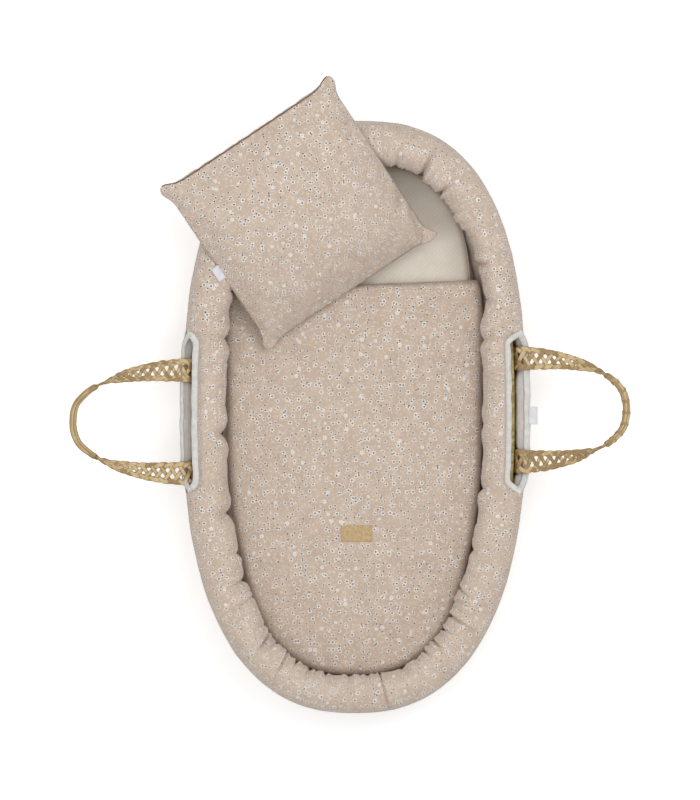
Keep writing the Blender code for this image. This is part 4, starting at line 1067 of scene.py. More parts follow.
# Points at each end of the loop that the tail takes over
OVERLAP = 8
LINE_STEP = 0.0015
LINE_EASING = 14
BAND_WIDTH = 0.034
GRIP_WIDTH = 0.013
TAIL_BOTTOM = 0.078
HANDLES = {
    "left": (Vector((-0.229825, HANDLE_PIVOT_Y["left"], 0.193461)), math.radians(23), True),
    "right": (Vector((0.229825, HANDLE_PIVOT_Y["right"], 0.193461)), math.radians(30), False),
}
STRANDS = 5
PLAIT_PITCH = 0.075
STRIP = (0.0058, 0.0019)
LANES = 7
LANE_STRIP = (0.0062, 0.0019)
KNOT_SHARES = (0.14, 0.27, 0.40, 0.53, 0.66, 0.79, 0.90)


def handle_frame(side):
    """Return the turn and place of a handle's own frame: x outwards, y along the basket."""
    pivot, droop, mirrored = HANDLES[side]
    turn = Matrix.Rotation(math.pi, 4, "Z") if mirrored else Matrix.Identity(4)
    return Matrix.Translation(pivot) @ turn @ Matrix.Rotation(droop, 4, "Y")


def handle_line(side):
    """Return a handle's middle line from root to root: points, across directions, widths, half-way shares."""
    share = np.linspace(0, 1, 420)
    angle = math.pi * (0.5 - share)
    power = 2 / HANDLE_ROUNDNESS
    out = HANDLE_REACH[side] * np.abs(np.cos(angle)) ** power
    along = HANDLE_SPAN / 2 * np.sign(np.sin(angle)) * np.abs(np.sin(angle)) ** power
    path = np.stack([out, along, 0 * out], axis=-1)
    reach = run_lengths(path)
    station = np.linspace(0, reach[-1], 300)
    path = resampled(path, reach, station)
    tangent = np.gradient(path, axis=0)
    tangent /= np.linalg.norm(tangent, axis=1, keepdims=True)
    half_way = np.minimum(station, station[-1] - station) / (station[-1] / 2)
    turned = smoothstep((half_way - TURN_START) / (BAND_END - TURN_START))
    turned = np.where(station > station[-1] / 2, 2 - turned, turned) * math.pi / 2
    upright = np.array([0.0, 0.0, 1.0])
    flat = np.cross(upright, tangent)
    across = flat * np.cos(turned)[:, None] + upright * np.sin(turned)[:, None]
    width = lerp(BAND_WIDTH, GRIP_WIDTH, smoothstep(half_way / BAND_END))
    matrix = handle_frame(side)
    world = np.array([matrix @ Vector(point) for point in path])
    basis = np.array(matrix.to_3x3())
    return world, across @ basis.T, width, half_way


def tail_line(side, end):
    """Return a tail's points from its foot up to the hinge, on the wall's outer side."""
    pivot, _, mirrored = HANDLES[side]
    sign = -1 if mirrored else 1
    y = pivot.y + end * sign * HANDLE_SPAN / 2
    ring = Ring(2400)
    station = np.argmin(np.abs(ring.y - y) + np.where(ring.right == (sign > 0), 0, 9))
    heights = np.array([TAIL_BOTTOM, 0.10, 0.12, 0.14, 0.158, 0.170, 0.178, 0.186])
    gap = np.array([0.0062, 0.0062, 0.0062, 0.0064, 0.0072, 0.0084, 0.0090, 0.0086])
    outset = wall_middle(heights) + gap
    outset[-3:] = (0.0087, 0.0092, 0.0102)
    base = ring.outline[station]
    normal = ring.normal[station]
    points = [(*(base + normal * (o - RIM_INSET)), h) for o, h in zip(outset, heights)]
    return np.array(points)


def full_line(side):
    """Return a handle's run with its tails.

    It comes as points, tangents, across directions, widths, half-way shares and stations. The half-way share is
    1 in the grip's middle, 0 at the roots and below 0 on the tails.
    """
    world, across, width, half_way = handle_line(side)
    start = tail_line(side, 1)
    end = tail_line(side, -1)
    middle = slice(OVERLAP, -OVERLAP)
    points = np.concatenate([start, world[middle], end[::-1]])
    head = len(start)
    across = across[middle]
    ends = [np.tile((0, np.sign(y), 0), (head, 1)) for y in (across[0, 1], across[-1, 1])]
    sideways = np.concatenate([ends[0], across, ends[1]])
    wide = np.concatenate([np.full(head, BAND_WIDTH), width[middle], np.full(head, BAND_WIDTH)])
    halves = np.concatenate([np.full(head, -1.0), half_way[middle], np.full(head, -1.0)])
    reach = run_lengths(points)
    station = np.linspace(0, reach[-1], round(reach[-1] / LINE_STEP))
    points = eased(resampled(points, reach, station), LINE_EASING)
    sideways = eased(resampled(sideways, reach, station), LINE_EASING)
    tangent = np.gradient(points, axis=0)
    tangent /= np.linalg.norm(tangent, axis=1, keepdims=True)
    sideways -= tangent * np.sum(sideways * tangent, axis=1, keepdims=True)
    sideways /= np.linalg.norm(sideways, axis=1, keepdims=True)
    wide = np.interp(station, reach, wide)
    return points, tangent, sideways, wide, np.interp(station, reach, halves), station


# Phases at which a strand passes under or over another, each half a turn of its lift apart
CROSSINGS = (np.array([-0.1, 0.1, 0.2, 0.3, 0.4, 0.6, 0.7, 0.8, 0.9, 1.1]), np.arange(-1.0, 9.0))


def strand_run(phase):
    """Return a strand's place across the plait, from -1 to 1, and its lift, for its phase along the plait."""
    part = phase % 1.0
    swing = 4 * np.abs(part - 0.5) - 1
    across = np.sign(swing) * (1 - (1 - np.abs(swing)) ** 2.7)
    lift = np.cos(math.pi * np.interp(part, *CROSSINGS))
    return across, lift


def build_handle(side, knots):
    """Plait one handle from five strips, sewn to the wall at both ends and bound round its grip."""
    points, tangent, sideways, wide, halves, station = full_line(side)
    front = np.cross(tangent, sideways)
    random = np.random.default_rng(81 if side == "left" else 82)
    middle = station[-1] / 2
    plaited = halves < BAND_END + 0.03
    pieces = []
    for strand in range(STRANDS):
        for half, keep in (("a", plaited & (station <= middle)), ("b", plaited & (station > middle))):
            where = np.where(keep)[0]
            reach = station[where] if half == "a" else station[-1] - station[where]
            across, lift = strand_run(reach / PLAIT_PITCH + strand / STRANDS)
            gather = smoothstep((halves[where] - 0.60) / (BAND_END - 0.58))
            room = (wide[where] - STRIP[0] * 1.1 * (1 - 0.45 * gather)) / 2
            lifted = 0.00115 * lift * (1 + 0.5 * gather)
            wobble = wander(reach, 0.03, 90 + strand, 2) * 0.0004
            aside = sideways[where] * (across * room + wobble)[:, None]
            line = eased(points[where] + aside + front[where] * lifted[:, None], 2)
            section = np.broadcast_to(oval(*STRIP, 12, 3.2), (len(where), 12, 2)).copy()
            scale = 1 + 0.18 * np.abs(across) ** 4 + 0.10 * wander(reach, 0.025, 120 + strand, 2)
            section[..., 0] *= (scale * (1 - 0.45 * gather))[:, None]
            ripple = 0.0003 * wander(reach, 0.012, 160 + strand, 1)
            section[..., 1] += ripple[:, None] * np.sign(section[..., 0])
            piece = rope_mesh(f"strip_{side}_{strand}_{half}", line, front[where], section)
            edge = np.abs(section[..., 0]) / np.abs(section[..., 0]).max(axis=1, keepdims=True)
            # Darker along each strip's edges, with some random tone.
            edge_dark = 0.70 * (edge > 0.80) + 0.30 * wander(reach, 0.03, 180 + strand, 2)[:, None]
            # Darker where a strip passes under another: painted shade.
            under = 0.55 * smoothstep(-lift / 0.8)[:, None]
            toned(piece, (random.uniform(-0.05, 0.75) + edge_dark + under).reshape(-1))
            pieces.append(piece)
    plait = joined("handle_plait_" + side, pieces)
    dress(plait, PALM, None, f"handle_{side}_head_tail", f"handle_{side}_foot_tail",
          f"handle_{side}_head_band", f"handle_{side}_foot_band", finish="palm_leaf")
    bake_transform(plait)
    build_grip(side, knots, points, tangent, sideways, front, halves, station)


def build_grip(side, knots, points, tangent, sideways, front, halves, station):
    """Bind the grip: the strips run on side by side round a core and are tied with thin strips."""
    where = np.where(halves > BAND_END - 0.02)[0]
    along = station[where] - station[where][0]
    length = along[-1]
    ends = np.minimum(along, length - along)
    line = points[where]
    across = sideways[where]
    face = front[where]
    lean = 0.0009 * wander(along, 0.07, 137 if knots else 136, 2) * smoothstep(ends / 0.03)
    line = line + face * lean[:, None]
    girth = 0.78 + 0.22 * smoothstep(ends / 0.02) + 0.05 * wander(along, 0.025, 141 if knots else 140, 2)
    pieces = []
    for lane in range(LANES):
        angle = (lane + 0.5) / LANES * math.tau
        sway, twist = (0.9, 18) if knots else (0.35, 7)
        spin = angle + sway * np.sin(along * 21 + lane * 0.15) + along * twist
        out = (across * (np.cos(spin) * (GRIP_WIDTH / 2 - 0.0012) * girth)[:, None]
               + face * (np.sin(spin) * 0.0031 * girth)[:, None])
        tilt = across * np.cos(spin)[:, None] + face * np.sin(spin)[:, None]
        section = np.broadcast_to(oval(*LANE_STRIP, 10, 2.6), (len(where), 10, 2))
        strip = rope_mesh(f"lane_{side}_{lane}", line + out, tilt, section)
        edge = np.abs(section[..., 0]) > 0.0026
        toned(strip, (0.10 + 0.6 * ((lane * 3) % 5) / 5 + 0.5 * edge).reshape(-1))
        pieces.append(strip)
    section = oval(GRIP_WIDTH - 0.003, 0.0060, 12)[None] * girth[:, None, None]
    # The core is toned dark brown: painted shade in the gaps between the lanes.
    pieces.append(rope_mesh(f"core_{side}", line, face, section, tone=0.9))
    ties = [0.004, length - 0.004]
    if knots:
        ties += [length * share for share in KNOT_SHARES]
    for count, at in enumerate(ties):
        k = int(np.argmin(np.abs(along - at)))
        turns = 3 if count < 2 else 1.2
        steps = int(turns * 26)
        phase = np.linspace(0.4 * count, turns * math.tau + 0.4 * count, steps)
        slide = np.linspace(-0.0011, 0.0011, steps) * turns
        half = GRIP_WIDTH / 2 * girth[k] + 0.0009
        deep = 0.0045 * girth[k] + 0.0004
        loop = (line[k][None] + tangent[where][k][None] * slide[:, None]
                + across[k][None] * (half * np.cos(phase))[:, None]
                + face[k][None] * (deep * np.sin(phase))[:, None])
        outward = across[k][None] * np.cos(phase)[:, None] + face[k][None] * np.sin(phase)[:, None]
        section = oval(0.0021 if count < 2 else 0.0034, 0.0010, 8, 2.6)
        pieces.append(rope_mesh(f"tie_{side}_{count}", loop, outward, section, tone=0.62))
    grip = joined("grip_" + side, pieces)
    dress(grip, PALM, "handle_" + side, f"handle_{side}_grip", finish="palm_leaf")


# Mattress

def layered(ring, insets, heights):
    """Return rows of points round the bed, each at an inset from the rim's line and a height."""
    return np.stack([ring.place(-inset, height) for inset, height in zip(insets, heights)], axis=1)


def edge_uv(points, flat_from):
    """Return flat coordinates from above, with the rows before that one unrolled outwards."""
    uv = points[..., :2].copy()
    steps = np.linalg.norm(np.diff(points[:, :flat_from + 1], axis=1), axis=2)
    reach = np.cumsum(steps[:, ::-1], axis=1)[:, ::-1]
    away = uv[:, 0] - uv[:, flat_from]
    away /= np.maximum(np.linalg.norm(away, axis=1, keepdims=True), 1e-9)
    uv[:, :flat_from] = uv[:, flat_from, None] + away[:, None] * reach[..., None]
    return np.concatenate([uv, uv[:1]], axis=0)


MATTRESS_EDGE = 0.0341
MATTRESS_BELLY = 0.0356
MATTRESS_LEAN = 0.0100
SHOULDER_DROP = 0.0120
FOOT_RISE = 0.0078
PIPING = 0.0022
BAND_THICKNESS = 0.0012


def build_mattress():
    """Make the mattress: a crowned ribbed top, a mesh side band between two piped edges, a plain bottom."""
    ring = Ring(700)
    low, high = MATTRESS_LOW, MATTRESS_TOP
    wave = 0.0005 * ring_wander(ring.share, 26, 201, 2)
    bare = smoothstep(ring.outline[:, 0] / 0.12) * smoothstep((0.30 - ring.y) / 0.115)
    foot_inset = MATTRESS_INSET + 0.0004
    edge_inset = MATTRESS_EDGE + MATTRESS_LEAN * bare
    shoulder = high - SHOULDER_DROP

    run = np.linspace(0, 1, 14)
    insets = [edge_inset + 0.0105 * (1 - math.cos(s * math.pi / 2)) for s in run]
    heights = [shoulder + 0.0112 * math.sin(s * math.pi / 2) + wave * s for s in run]
    points = layered(ring, insets, heights)
    inner = points[:, -1, :2]
    share = np.linspace(0.985, 0.03, 64)
    flat = inner[:, None, :] * share[None, :, None]
    crown = 0.0006 * wander(flat[..., 0], 0.11, 202, 2) + 0.0006 * wander(flat[..., 1], 0.15, 203, 2)
    level = points[:, -1:, 2] + (crown - 0.0002) * smoothstep((1 - share) / 0.1)[None, :]
    level = np.minimum(level, high - 0.0001)
    points = np.concatenate([points, np.concatenate([flat, level[..., None]], axis=-1)], axis=1)
    top = close_holes(grid("mattress_top", points, edge_uv(points, len(run)), wrap_u=True))
    dress(top, KNIT, "mattress", "mattress_top_panel", "mattress_foam", finish="mattress_knit")

    rows = np.linspace(0, 1, 22)
    belly = smoothstep((rows - 0.72) / 0.28)
    insets = [lerp(lerp(foot_inset, MATTRESS_BELLY, min(1.0, s / 0.75)), edge_inset + 0.0004, share)
              for s, share in zip(rows, belly)]
    heights = lerp(low + FOOT_RISE, shoulder - 0.0006, rows)
    points = layered(ring, insets, heights)
    points[..., :2] += ring.normal[:, None, :] * (0.0005 * ring_wander(ring.share, 40, 204, 2))[:, None, None]
    band = grid("mattress_band", points, ring_uv(ring, points), wrap_u=True, outward=False)
    thicken(band, BAND_THICKNESS)
    dress(band, MESH_BAND, "mattress", "mattress_side_band", finish="mattress_band")

    insets = [foot_inset + 0.0075 * (1 - math.cos(s * math.pi / 2)) for s in run]
    heights = [low + FOOT_RISE * (1 - math.sin(s * math.pi / 2)) for s in run]
    points = layered(ring, insets, heights)
    share = np.linspace(0.97, 0.03, 16)
    flat = points[:, -1:, :2] * share[None, :, None]
    under = np.concatenate([flat, np.full((*flat.shape[:2], 1), low)], axis=-1)
    points = np.concatenate([points, under], axis=1)
    bottom = close_holes(grid("mattress_bottom", points, edge_uv(points, len(run)), wrap_u=True))
    dress(bottom, PLAIN, "mattress", "mattress_bottom_panel", finish="plain_cotton")

    up = np.broadcast_to([0.0, 0.0, 1.0], (ring.count, 3))
    pieces = []
    for inset, height in ((edge_inset - 0.0002, shoulder), (foot_inset - 0.0004, low + FOOT_RISE)):
        pieces.append(rope_mesh("pipe", ring.place(-inset, height), up, oval(PIPING, PIPING, 8), closed=True))
    piping = joined("mattress_piping", pieces)
    dress(piping, KNIT, "mattress", finish="mattress_knit")


# Quilt

QUILT_EDGE_Y = 0.1890
QUILT_INSET = 0.0592
QUILT_STATIONS = 840
QUILT_COLUMNS = 26
QUILT_FLANK = 0.14
# How high over its underside the edge of the top cloth lies, and how wide it is rounded
QUILT_SIDE_LIFT = 0.010
QUILT_HEAD_LIFT = 0.020
QUILT_SIDE_ROUND = 0.0150
QUILT_HEAD_ROUND = 0.0110
PATCH_HALF = (0.0224, 0.0114)
PATCH_THICKNESS = 0.0008
# Shares of the way from the quilt's middle to its edge, of the rows that close a body inside
HIDDEN_ROWS = (0.004, 0.3, 0.6, 0.85, 0.96)


def head_line(x):
    """Return how far up the bed the quilt's head edge lies."""
    return QUILT_EDGE_Y + math.tan(QUILT_HEAD_TURN) * x


def quilt_outline(count):
    """Return the quilt's plan as evenly spaced points: round at the foot, straight across its head end."""
    ring = Ring(6000)
    foot = smoothstep((-ring.y - 0.20) / 0.17)
    head = smoothstep((ring.y - 0.02) / 0.17)
    loop = ring.outline - ring.normal * (QUILT_INSET - 0.0090 * foot - 0.0080 * head)[:, None]
    inside = loop[:, 1] < head_line(loop[:, 0])
    body = loop[inside]
    start = np.argmax(np.linalg.norm(np.diff(body, axis=0), axis=1)) + 1
    body = np.roll(body, -start, axis=0)
    corners = [(x, head_line(x)) for x in (body[-1, 0], body[0, 0])]
    closed = np.concatenate([body, corners, body[:1]])
    reach = run_lengths(closed)
    wanted = (np.arange(count) + 0.5) / count * reach[-1]
    return eased_loop(resampled(closed, reach, wanted), 8)


def edge_distance(flat, outline):
    """Return how far each plan point lies from the quilt's edge, rounded at its corners, and from its head."""
    starts = outline[::3]
    runs = np.roll(starts, -1, axis=0) - starts
    on_side = starts[:, 1] < head_line(starts[:, 0]) - 0.0015
    on_side &= np.roll(on_side, -1)
    starts, runs = starts[on_side], runs[on_side]
    points = flat.reshape(-1, 2)
    near = np.empty(len(points))
    for first in range(0, len(points), 4000):
        away = points[first:first + 4000, None] - starts
        along = np.clip((away * runs).sum(axis=2) / (runs ** 2).sum(axis=1), 0, 1)
        near[first:first + 4000] = np.linalg.norm(away - along[..., None] * runs, axis=2).min(axis=1)
    head = np.maximum(head_line(points[:, 0]) - points[:, 1], 0.0)
    soft = 0.0035
    both = -soft * np.log(np.exp(-near / soft) + np.exp(-head / soft) + 1e-30)
    return np.maximum(both, 0.0).reshape(flat.shape[:-1]), head.reshape(flat.shape[:-1])


def covered(name, points, centre, uv):
    """Return a body whose open rim is closed by hidden rows that run in to its middle."""
    rim = points[:, :1]
    share = np.array(HIDDEN_ROWS)[None, :, None]
    flat = centre[:, None] + (rim[..., :2] - centre[:, None]) * share
    height = lerp(rim[..., 2:].mean(), rim[..., 2:], share)
    hidden = np.concatenate([flat, height], axis=-1)
    hidden_uv = np.concatenate([flat, flat[:1]], axis=0)
    points = np.concatenate([hidden, points], axis=1)
    return close_holes(grid(name, points, np.concatenate([hidden_uv, uv], axis=1), wrap_u=True))


def build_quilt():
    """Make the quilt: a plump printed top, tucked down at its sides and foot, over a plain backing."""
    outline = quilt_outline(QUILT_STATIONS)
    share = np.arange(QUILT_STATIONS) / QUILT_STATIONS
    centre = np.stack([0 * share, np.clip(outline[:, 1], -0.20, 0.02) * 0.9], axis=-1)
    near_edge = 1 - np.linspace(0, 1, QUILT_COLUMNS) ** 1.7 * QUILT_FLANK
    scale = np.concatenate([near_edge, np.linspace(near_edge[-1], 0.004, 96)[1:]])
    flat = centre[:, None, :] + (outline - centre)[:, None, :] * scale[None, :, None]
    inside, head = edge_distance(flat, outline)

    full = QUILT_TOP - 0.0012
    head_share = smoothstep(1 - head / 0.035)
    edge_low = lerp(QUILT_LOW + QUILT_SIDE_LIFT, QUILT_LOW + QUILT_HEAD_LIFT, head_share)
    reach = lerp(QUILT_SIDE_ROUND, QUILT_HEAD_ROUND, head_share)
    part = np.clip(inside / reach, 0, 1)
    rise = np.sqrt(np.clip(1 - (1 - part) ** 2.6, 0, 1)) ** 0.9
    relief = 0.0011 * wander(flat[..., 0], 0.12, 211, 2) + 0.0011 * wander(flat[..., 1], 0.17, 212, 2)
    relief += 0.0006 * wander(flat[..., 0] + 0.6 * flat[..., 1], 0.045, 213, 2) - 0.0010
    fade = np.exp(-(inside / 0.020) ** 1.4)
    foot = smoothstep((-flat[..., 1] - 0.20) / 0.12)
    gathers = (0.0004 + 0.0010 * foot) * ring_wander(share, 52, 214, 2)[:, None] * fade
    heights = edge_low + (full - edge_low) * rise + relief * smoothstep(inside / 0.05) + gathers * rise
    hem = 0.0007 * np.exp(-((head - 0.0085) / 0.0011) ** 2) * smoothstep((inside - 0.003) / 0.004)
    heights = np.minimum(heights - hem, QUILT_TOP + 0.0004)
    points = np.concatenate([flat, heights[..., None]], axis=-1)
    top = covered("quilt_top", points, centre, edge_uv(points, QUILT_COLUMNS - 1))
    dress(top, PRINT, "quilt", "quilt_top_cloth", "quilt_filling", "quilt_head_hem", finish="printed_cotton")

    edge = heights[:, :1] - 0.0004
    scale = 1 - np.array([0.0, 0.012, 0.04, 0.10, 0.30, 0.60, 0.99])
    below = centre[:, None, :] + (outline - centre)[:, None, :] * scale[None, :, None]
    sink = np.array([0.0, 0.55, 0.85, 1.0, 1.0, 1.0, 1.0])[None, :]
    base = edge - (edge - (QUILT_LOW + 0.0006)) * sink
    low_points = np.concatenate([below, base[..., None]], axis=-1)
    backing = covered("quilt_back", low_points, centre, edge_uv(low_points, 3))
    dress(backing, PLAIN, "quilt", "quilt_backing", finish="plain_cotton")

    route = points[:, 0].copy()
    route[:, 2] -= 0.0003
    along_head = np.where(head[:, 0] < 0.0025)[0]
    along_head = along_head[np.argsort(route[along_head, 0])]
    route = route[along_head]
    up = np.broadcast_to([0.0, 0.35, 0.94], (len(route), 3))
    seam = rope_mesh("quilt_seam", route, up, oval(0.0013, 0.0013, 8))
    dress(seam, SEAM_PRINT, "quilt", finish="printed_cotton")
    build_patch(points)


def build_patch(points):
    """Sew the small kraft patch onto the quilt near its foot."""
    centre = box_middle("quilt_patch")
    cloth = points.reshape(-1, 3)
    half_x, half_y = PATCH_HALF
    x = np.linspace(-half_x, half_x, 48)[:, None]
    y = np.linspace(-half_y, half_y, 26)[None, :]
    spots = np.stack(np.broadcast_arrays(centre[0] + x, centre[1] + y), axis=-1)
    local = cloth[(np.abs(cloth[:, 0] - centre[0]) < 0.05) & (np.abs(cloth[:, 1] - centre[1]) < 0.04)]
    near = ((spots[:, :, None, :] - local[None, None, :, :2]) ** 2).sum(axis=-1)
    weight = 1 / (near + 1e-6) ** 2
    lift = (weight * local[None, None, :, 2]).sum(axis=-1) / weight.sum(axis=-1)
    edge = np.minimum(half_x - np.abs(x), half_y - np.abs(y))
    stitch = np.exp(-((edge - 0.0018) / 0.0005) ** 2)
    stitch = stitch * (0.5 + 0.5 * np.cos(math.tau * (x + y) / 0.0026))
    lift += 0.0012 - 0.0005 * np.exp(-(edge / 0.0012) ** 2) - 0.0002 * stitch
    lift += 0.0002 * wander(x + 0 * y, 0.02, 221, 2) + 0.0002 * wander(y + 0.4 * x, 0.012, 222, 2)
    patch_points = np.concatenate([spots, lift[..., None]], axis=-1)
    uv = patch_points[..., :2] - patch_points[0, 0, :2]
    patch = grid("patch", patch_points, uv, outward=False)
    toned(patch, np.clip(stitch * 1.4, 0, 1).reshape(-1))
    thicken(patch, PATCH_THICKNESS)
    dress(patch, KRAFT, "quilt", "quilt_patch", finish="kraft_patch")


# Cushion

CUSHION_CELLS = 80
CUSHION_CROWN = 0.0365
EAR_ROUND = 0.0100
EAR_PULL = 0.0034
EAR_REACH = 0.0044
CUSHION_SAG = 0.012
PLUMP_FRAMES = 20
PLUMP_LIMIT = 0.016
ZIP_HALF = 0.095


def cushion_matrix():
    """Return the cushion's own frame: x and y along its sides, z out of its top."""
    turn = Matrix.Rotation(CUSHION_TURN, 4, "Z") @ Matrix.Rotation(CUSHION_TILT, 4, "X")
    return Matrix.Translation(CUSHION_CENTRE) @ turn


def in_world(points):
    """Return points of the cushion's frame in the world."""
    matrix = np.array(cushion_matrix())
    return points @ matrix[:3, :3].T + matrix[:3, 3]


def ear_points(u, v, half):
    """Return the plan of the cushion's cloth: sides slightly drawn in, corners out in small ears."""
    corner = smoothstep((np.abs(u) * np.abs(v) - 0.84) / 0.08)
    tip = half + EAR_REACH
    x = u * (half - EAR_PULL * smoothstep((0.93 - np.abs(v)) / 0.17) + EAR_REACH * corner)
    y = v * (half - EAR_PULL * smoothstep((0.93 - np.abs(u)) / 0.17) + EAR_REACH * corner)
    a = np.clip((np.abs(x) - tip + EAR_ROUND) / EAR_ROUND, 0, 1)
    b = np.clip((np.abs(y) - tip + EAR_ROUND) / EAR_ROUND, 0, 1)
    x -= np.sign(x) * EAR_ROUND * a * (1 - np.sqrt(1 - b ** 2 / 2))
    y -= np.sign(y) * EAR_ROUND * b * (1 - np.sqrt(1 - a ** 2 / 2))
    right = smoothstep((u - 0.80) / 0.20) * smoothstep((-v - 0.88) / 0.12)
    return x + 0.0050 * right, y + 0.0022 * right


def build_cushion():
    """Make the square cushion, tilted over the roll at the head, plumped by its filling."""
    side = np.sin(np.linspace(-1, 1, CUSHION_CELLS + 1) * math.pi / 2 * 0.80) / math.sin(math.pi / 2 * 0.80)
    u, v = np.meshgrid(side, side, indexing="ij")
    half = CUSHION_SIDE / 2 + 0.0006
    x, y = ear_points(u, v, half)
    dome = np.clip((1 - u ** 2) * (1 - v ** 2), 0, 1) ** 0.50
    crown = CUSHION_CROWN - 0.0075
    sag = -CUSHION_SAG * (y / half) ** 2
    top = np.stack([x, y, crown * dome + sag], axis=-1)
    bottom = np.stack([x, y, -crown * dome + sag], axis=-1)
    cushion = pillow_mesh("cushion", top, bottom)
    plump(cushion)
    local = turn_up_far_edge(coordinates(cushion.data), half)
    set_coordinates(cushion.data, clear_of_roll(in_world(local)))
    unroll_pillow(cushion.data, CUSHION_CELLS + 1)
    dress(cushion, PRINT, "cushion", "cushion_cover", "cushion_pad", finish="printed_cotton")
    rim = CUSHION_CELLS + 1
    final = coordinates(cushion.data)
    build_zip(final[rim - 1:rim * rim:rim])
    build_cushion_label(final[:rim])


def turn_up_far_edge(points, half):
    """Roll the cushion's far side: its seam lies a little inside, the lower cloth turned up past it."""
    rim = CUSHION_CELLS + 1
    rows = np.arange(len(points))
    upper = rows < rim * rim
    y = points[:, 1]
    middle = smoothstep((1.02 - np.abs(points[:, 0]) / half) / 0.10)
    near = half - y
    seam = np.exp(-(np.clip(near, 0, None) / 0.011) ** 2) * middle
    moved = points.copy()
    moved[:, 2] += 0.0050 * seam
    moved[:, 1] -= np.where(upper, 0.0012, 0.0) * np.exp(-(np.clip(near, 0, None) / 0.009) ** 2) * middle
    under = (~upper) & (near < 0.030)
    bulge = np.exp(-((near - 0.0075) / 0.0062) ** 2) * middle
    moved[:, 1] += np.where(under, 0.0030 * bulge, 0.0)
    return moved


def plump(piece):
    """Let the filling push the cushion's two cloths apart, held along their seam."""
    mesh = piece.data
    start = coordinates(mesh)
    rim = CUSHION_CELLS + 1
    edges = (0, CUSHION_CELLS)
    seam = [i * rim + j for i in range(rim) for j in range(rim) if i in edges or j in edges]
    group = piece.vertex_groups.new(name="seam")
    group.add(seam, 1.0, "REPLACE")
    cloth = piece.modifiers.new("cloth", "CLOTH")
    settings = cloth.settings
    settings.quality = 6
    settings.mass = 0.2
    settings.tension_stiffness = 12
    settings.compression_stiffness = 12
    settings.shear_stiffness = 4
    settings.bending_stiffness = 0.3
    settings.use_pressure = True
    settings.uniform_pressure_force = 4
    settings.shrink_min = -0.02
    settings.vertex_group_mass = "seam"
    settings.effector_weights.gravity = 0
    cloth.point_cache.frame_start = 1
    cloth.point_cache.frame_end = PLUMP_FRAMES
    scene = bpy.context.scene
    for frame_number in range(1, PLUMP_FRAMES + 1):
        scene.frame_set(frame_number)
    view = bpy.context.evaluated_depsgraph_get()
    evaluated = piece.evaluated_get(view)
    moved = coordinates(evaluated.to_mesh()) - start
    evaluated.to_mesh_clear()
    piece.modifiers.clear()
    piece.vertex_groups.clear()
    scene.frame_set(1)
    reach = np.linalg.norm(moved, axis=1, keepdims=True)
    moved *= np.minimum(1.0, PLUMP_LIMIT / np.maximum(reach, 1e-9))
    set_coordinates(mesh, start + moved)


def clear_of_roll(points):
    """Press the cushion's underside up where the roll carries it."""
    ring = Ring(900)
    rim = ring.place(0.0, 0.0)[:, :2]
    moved = points.copy()
    for start in range(0, len(points), 2000):
        part = points[start:start + 2000]
        near = ((part[:, None, :2] - rim[None]) ** 2).sum(axis=2)
        at = near.argmin(axis=1)
        outset = ((part[:, :2] - rim[at]) * ring.normal[at]).sum(axis=1)
        off = (outset - ROLL_MIDDLE) / (ROLL_REACH + 0.0016)
        top = ROLL_CENTRE_HEIGHT + (ROLL_HALF_HEIGHT + 0.0016) * np.sqrt(np.clip(1 - off ** 2, 0, 1))
        top = np.where(np.abs(off) < 1, top, 0.0)
        inside = (part[:, 2] < top) & (part[:, 2] > ROLL_CENTRE_HEIGHT - 0.01)
        moved[start:start + 2000, 2] = np.where(inside, top, part[:, 2])
    floor = QUILT_TOP + 0.0012
    over_quilt = moved[:, 1] < head_line(moved[:, 0]) + 0.004
    moved[:, 2] = np.maximum(moved[:, 2], np.where(over_quilt, floor, MATTRESS_TOP + 0.001))
    return moved


def build_zip(edge):
    """Sew the zip into the cushion's far side: two tapes, a row of teeth and the slider."""
    reach = run_lengths(edge)
    middle = reach[-1] / 2
    station = np.linspace(middle - ZIP_HALF, middle + ZIP_HALF, 240)
    line = resampled(edge, reach, station)
    _, out, up = cushion_axes()
    ups = np.broadcast_to(up, line.shape)
    route = line - out * 0.0004 + up * 0.0006
    pieces = [rope_mesh("zip_tape", route, ups, oval(0.0030, 0.0012, 10, 2.4))]
    for count, k in enumerate(range(2, len(station) - 2, 2)):
        side = 1 if count % 2 else -1
        start = line[k] + up * 0.0012 + out * (0.0003 * side - 0.0008)
        tooth = np.array([start, start + out * 0.0006, start + out * 0.0012])
        pieces.append(rope_mesh("tooth", tooth, np.broadcast_to(up, (3, 3)), oval(0.0010, 0.0008, 6)))
    zipper = joined("zip", pieces)
    dress(zipper, ZIP_LOOK, "cushion", "cushion_zip", finish="zip")

    full = resampled(edge, reach, np.linspace(0.004, reach[-1] - 0.004, 300))
    full += up * (0.0010 + 0.0004 * wander(np.linspace(0, reach[-1], 300), 0.025, 231, 2))[:, None]
    # The seam is real, and its dark brown cord is painted shade along the turned-up edge.
    piping = rope_mesh("cushion_seam", full, np.broadcast_to(up, full.shape), oval(0.0015, 0.0012, 8))
    dress(piping, SEAM_SHADE_CORD, "cushion", finish="zip")
    build_slider()


def cushion_axes():
    """Return the directions along the cushion's far side, out of that side and up."""
    return np.array(cushion_matrix().to_3x3()).T


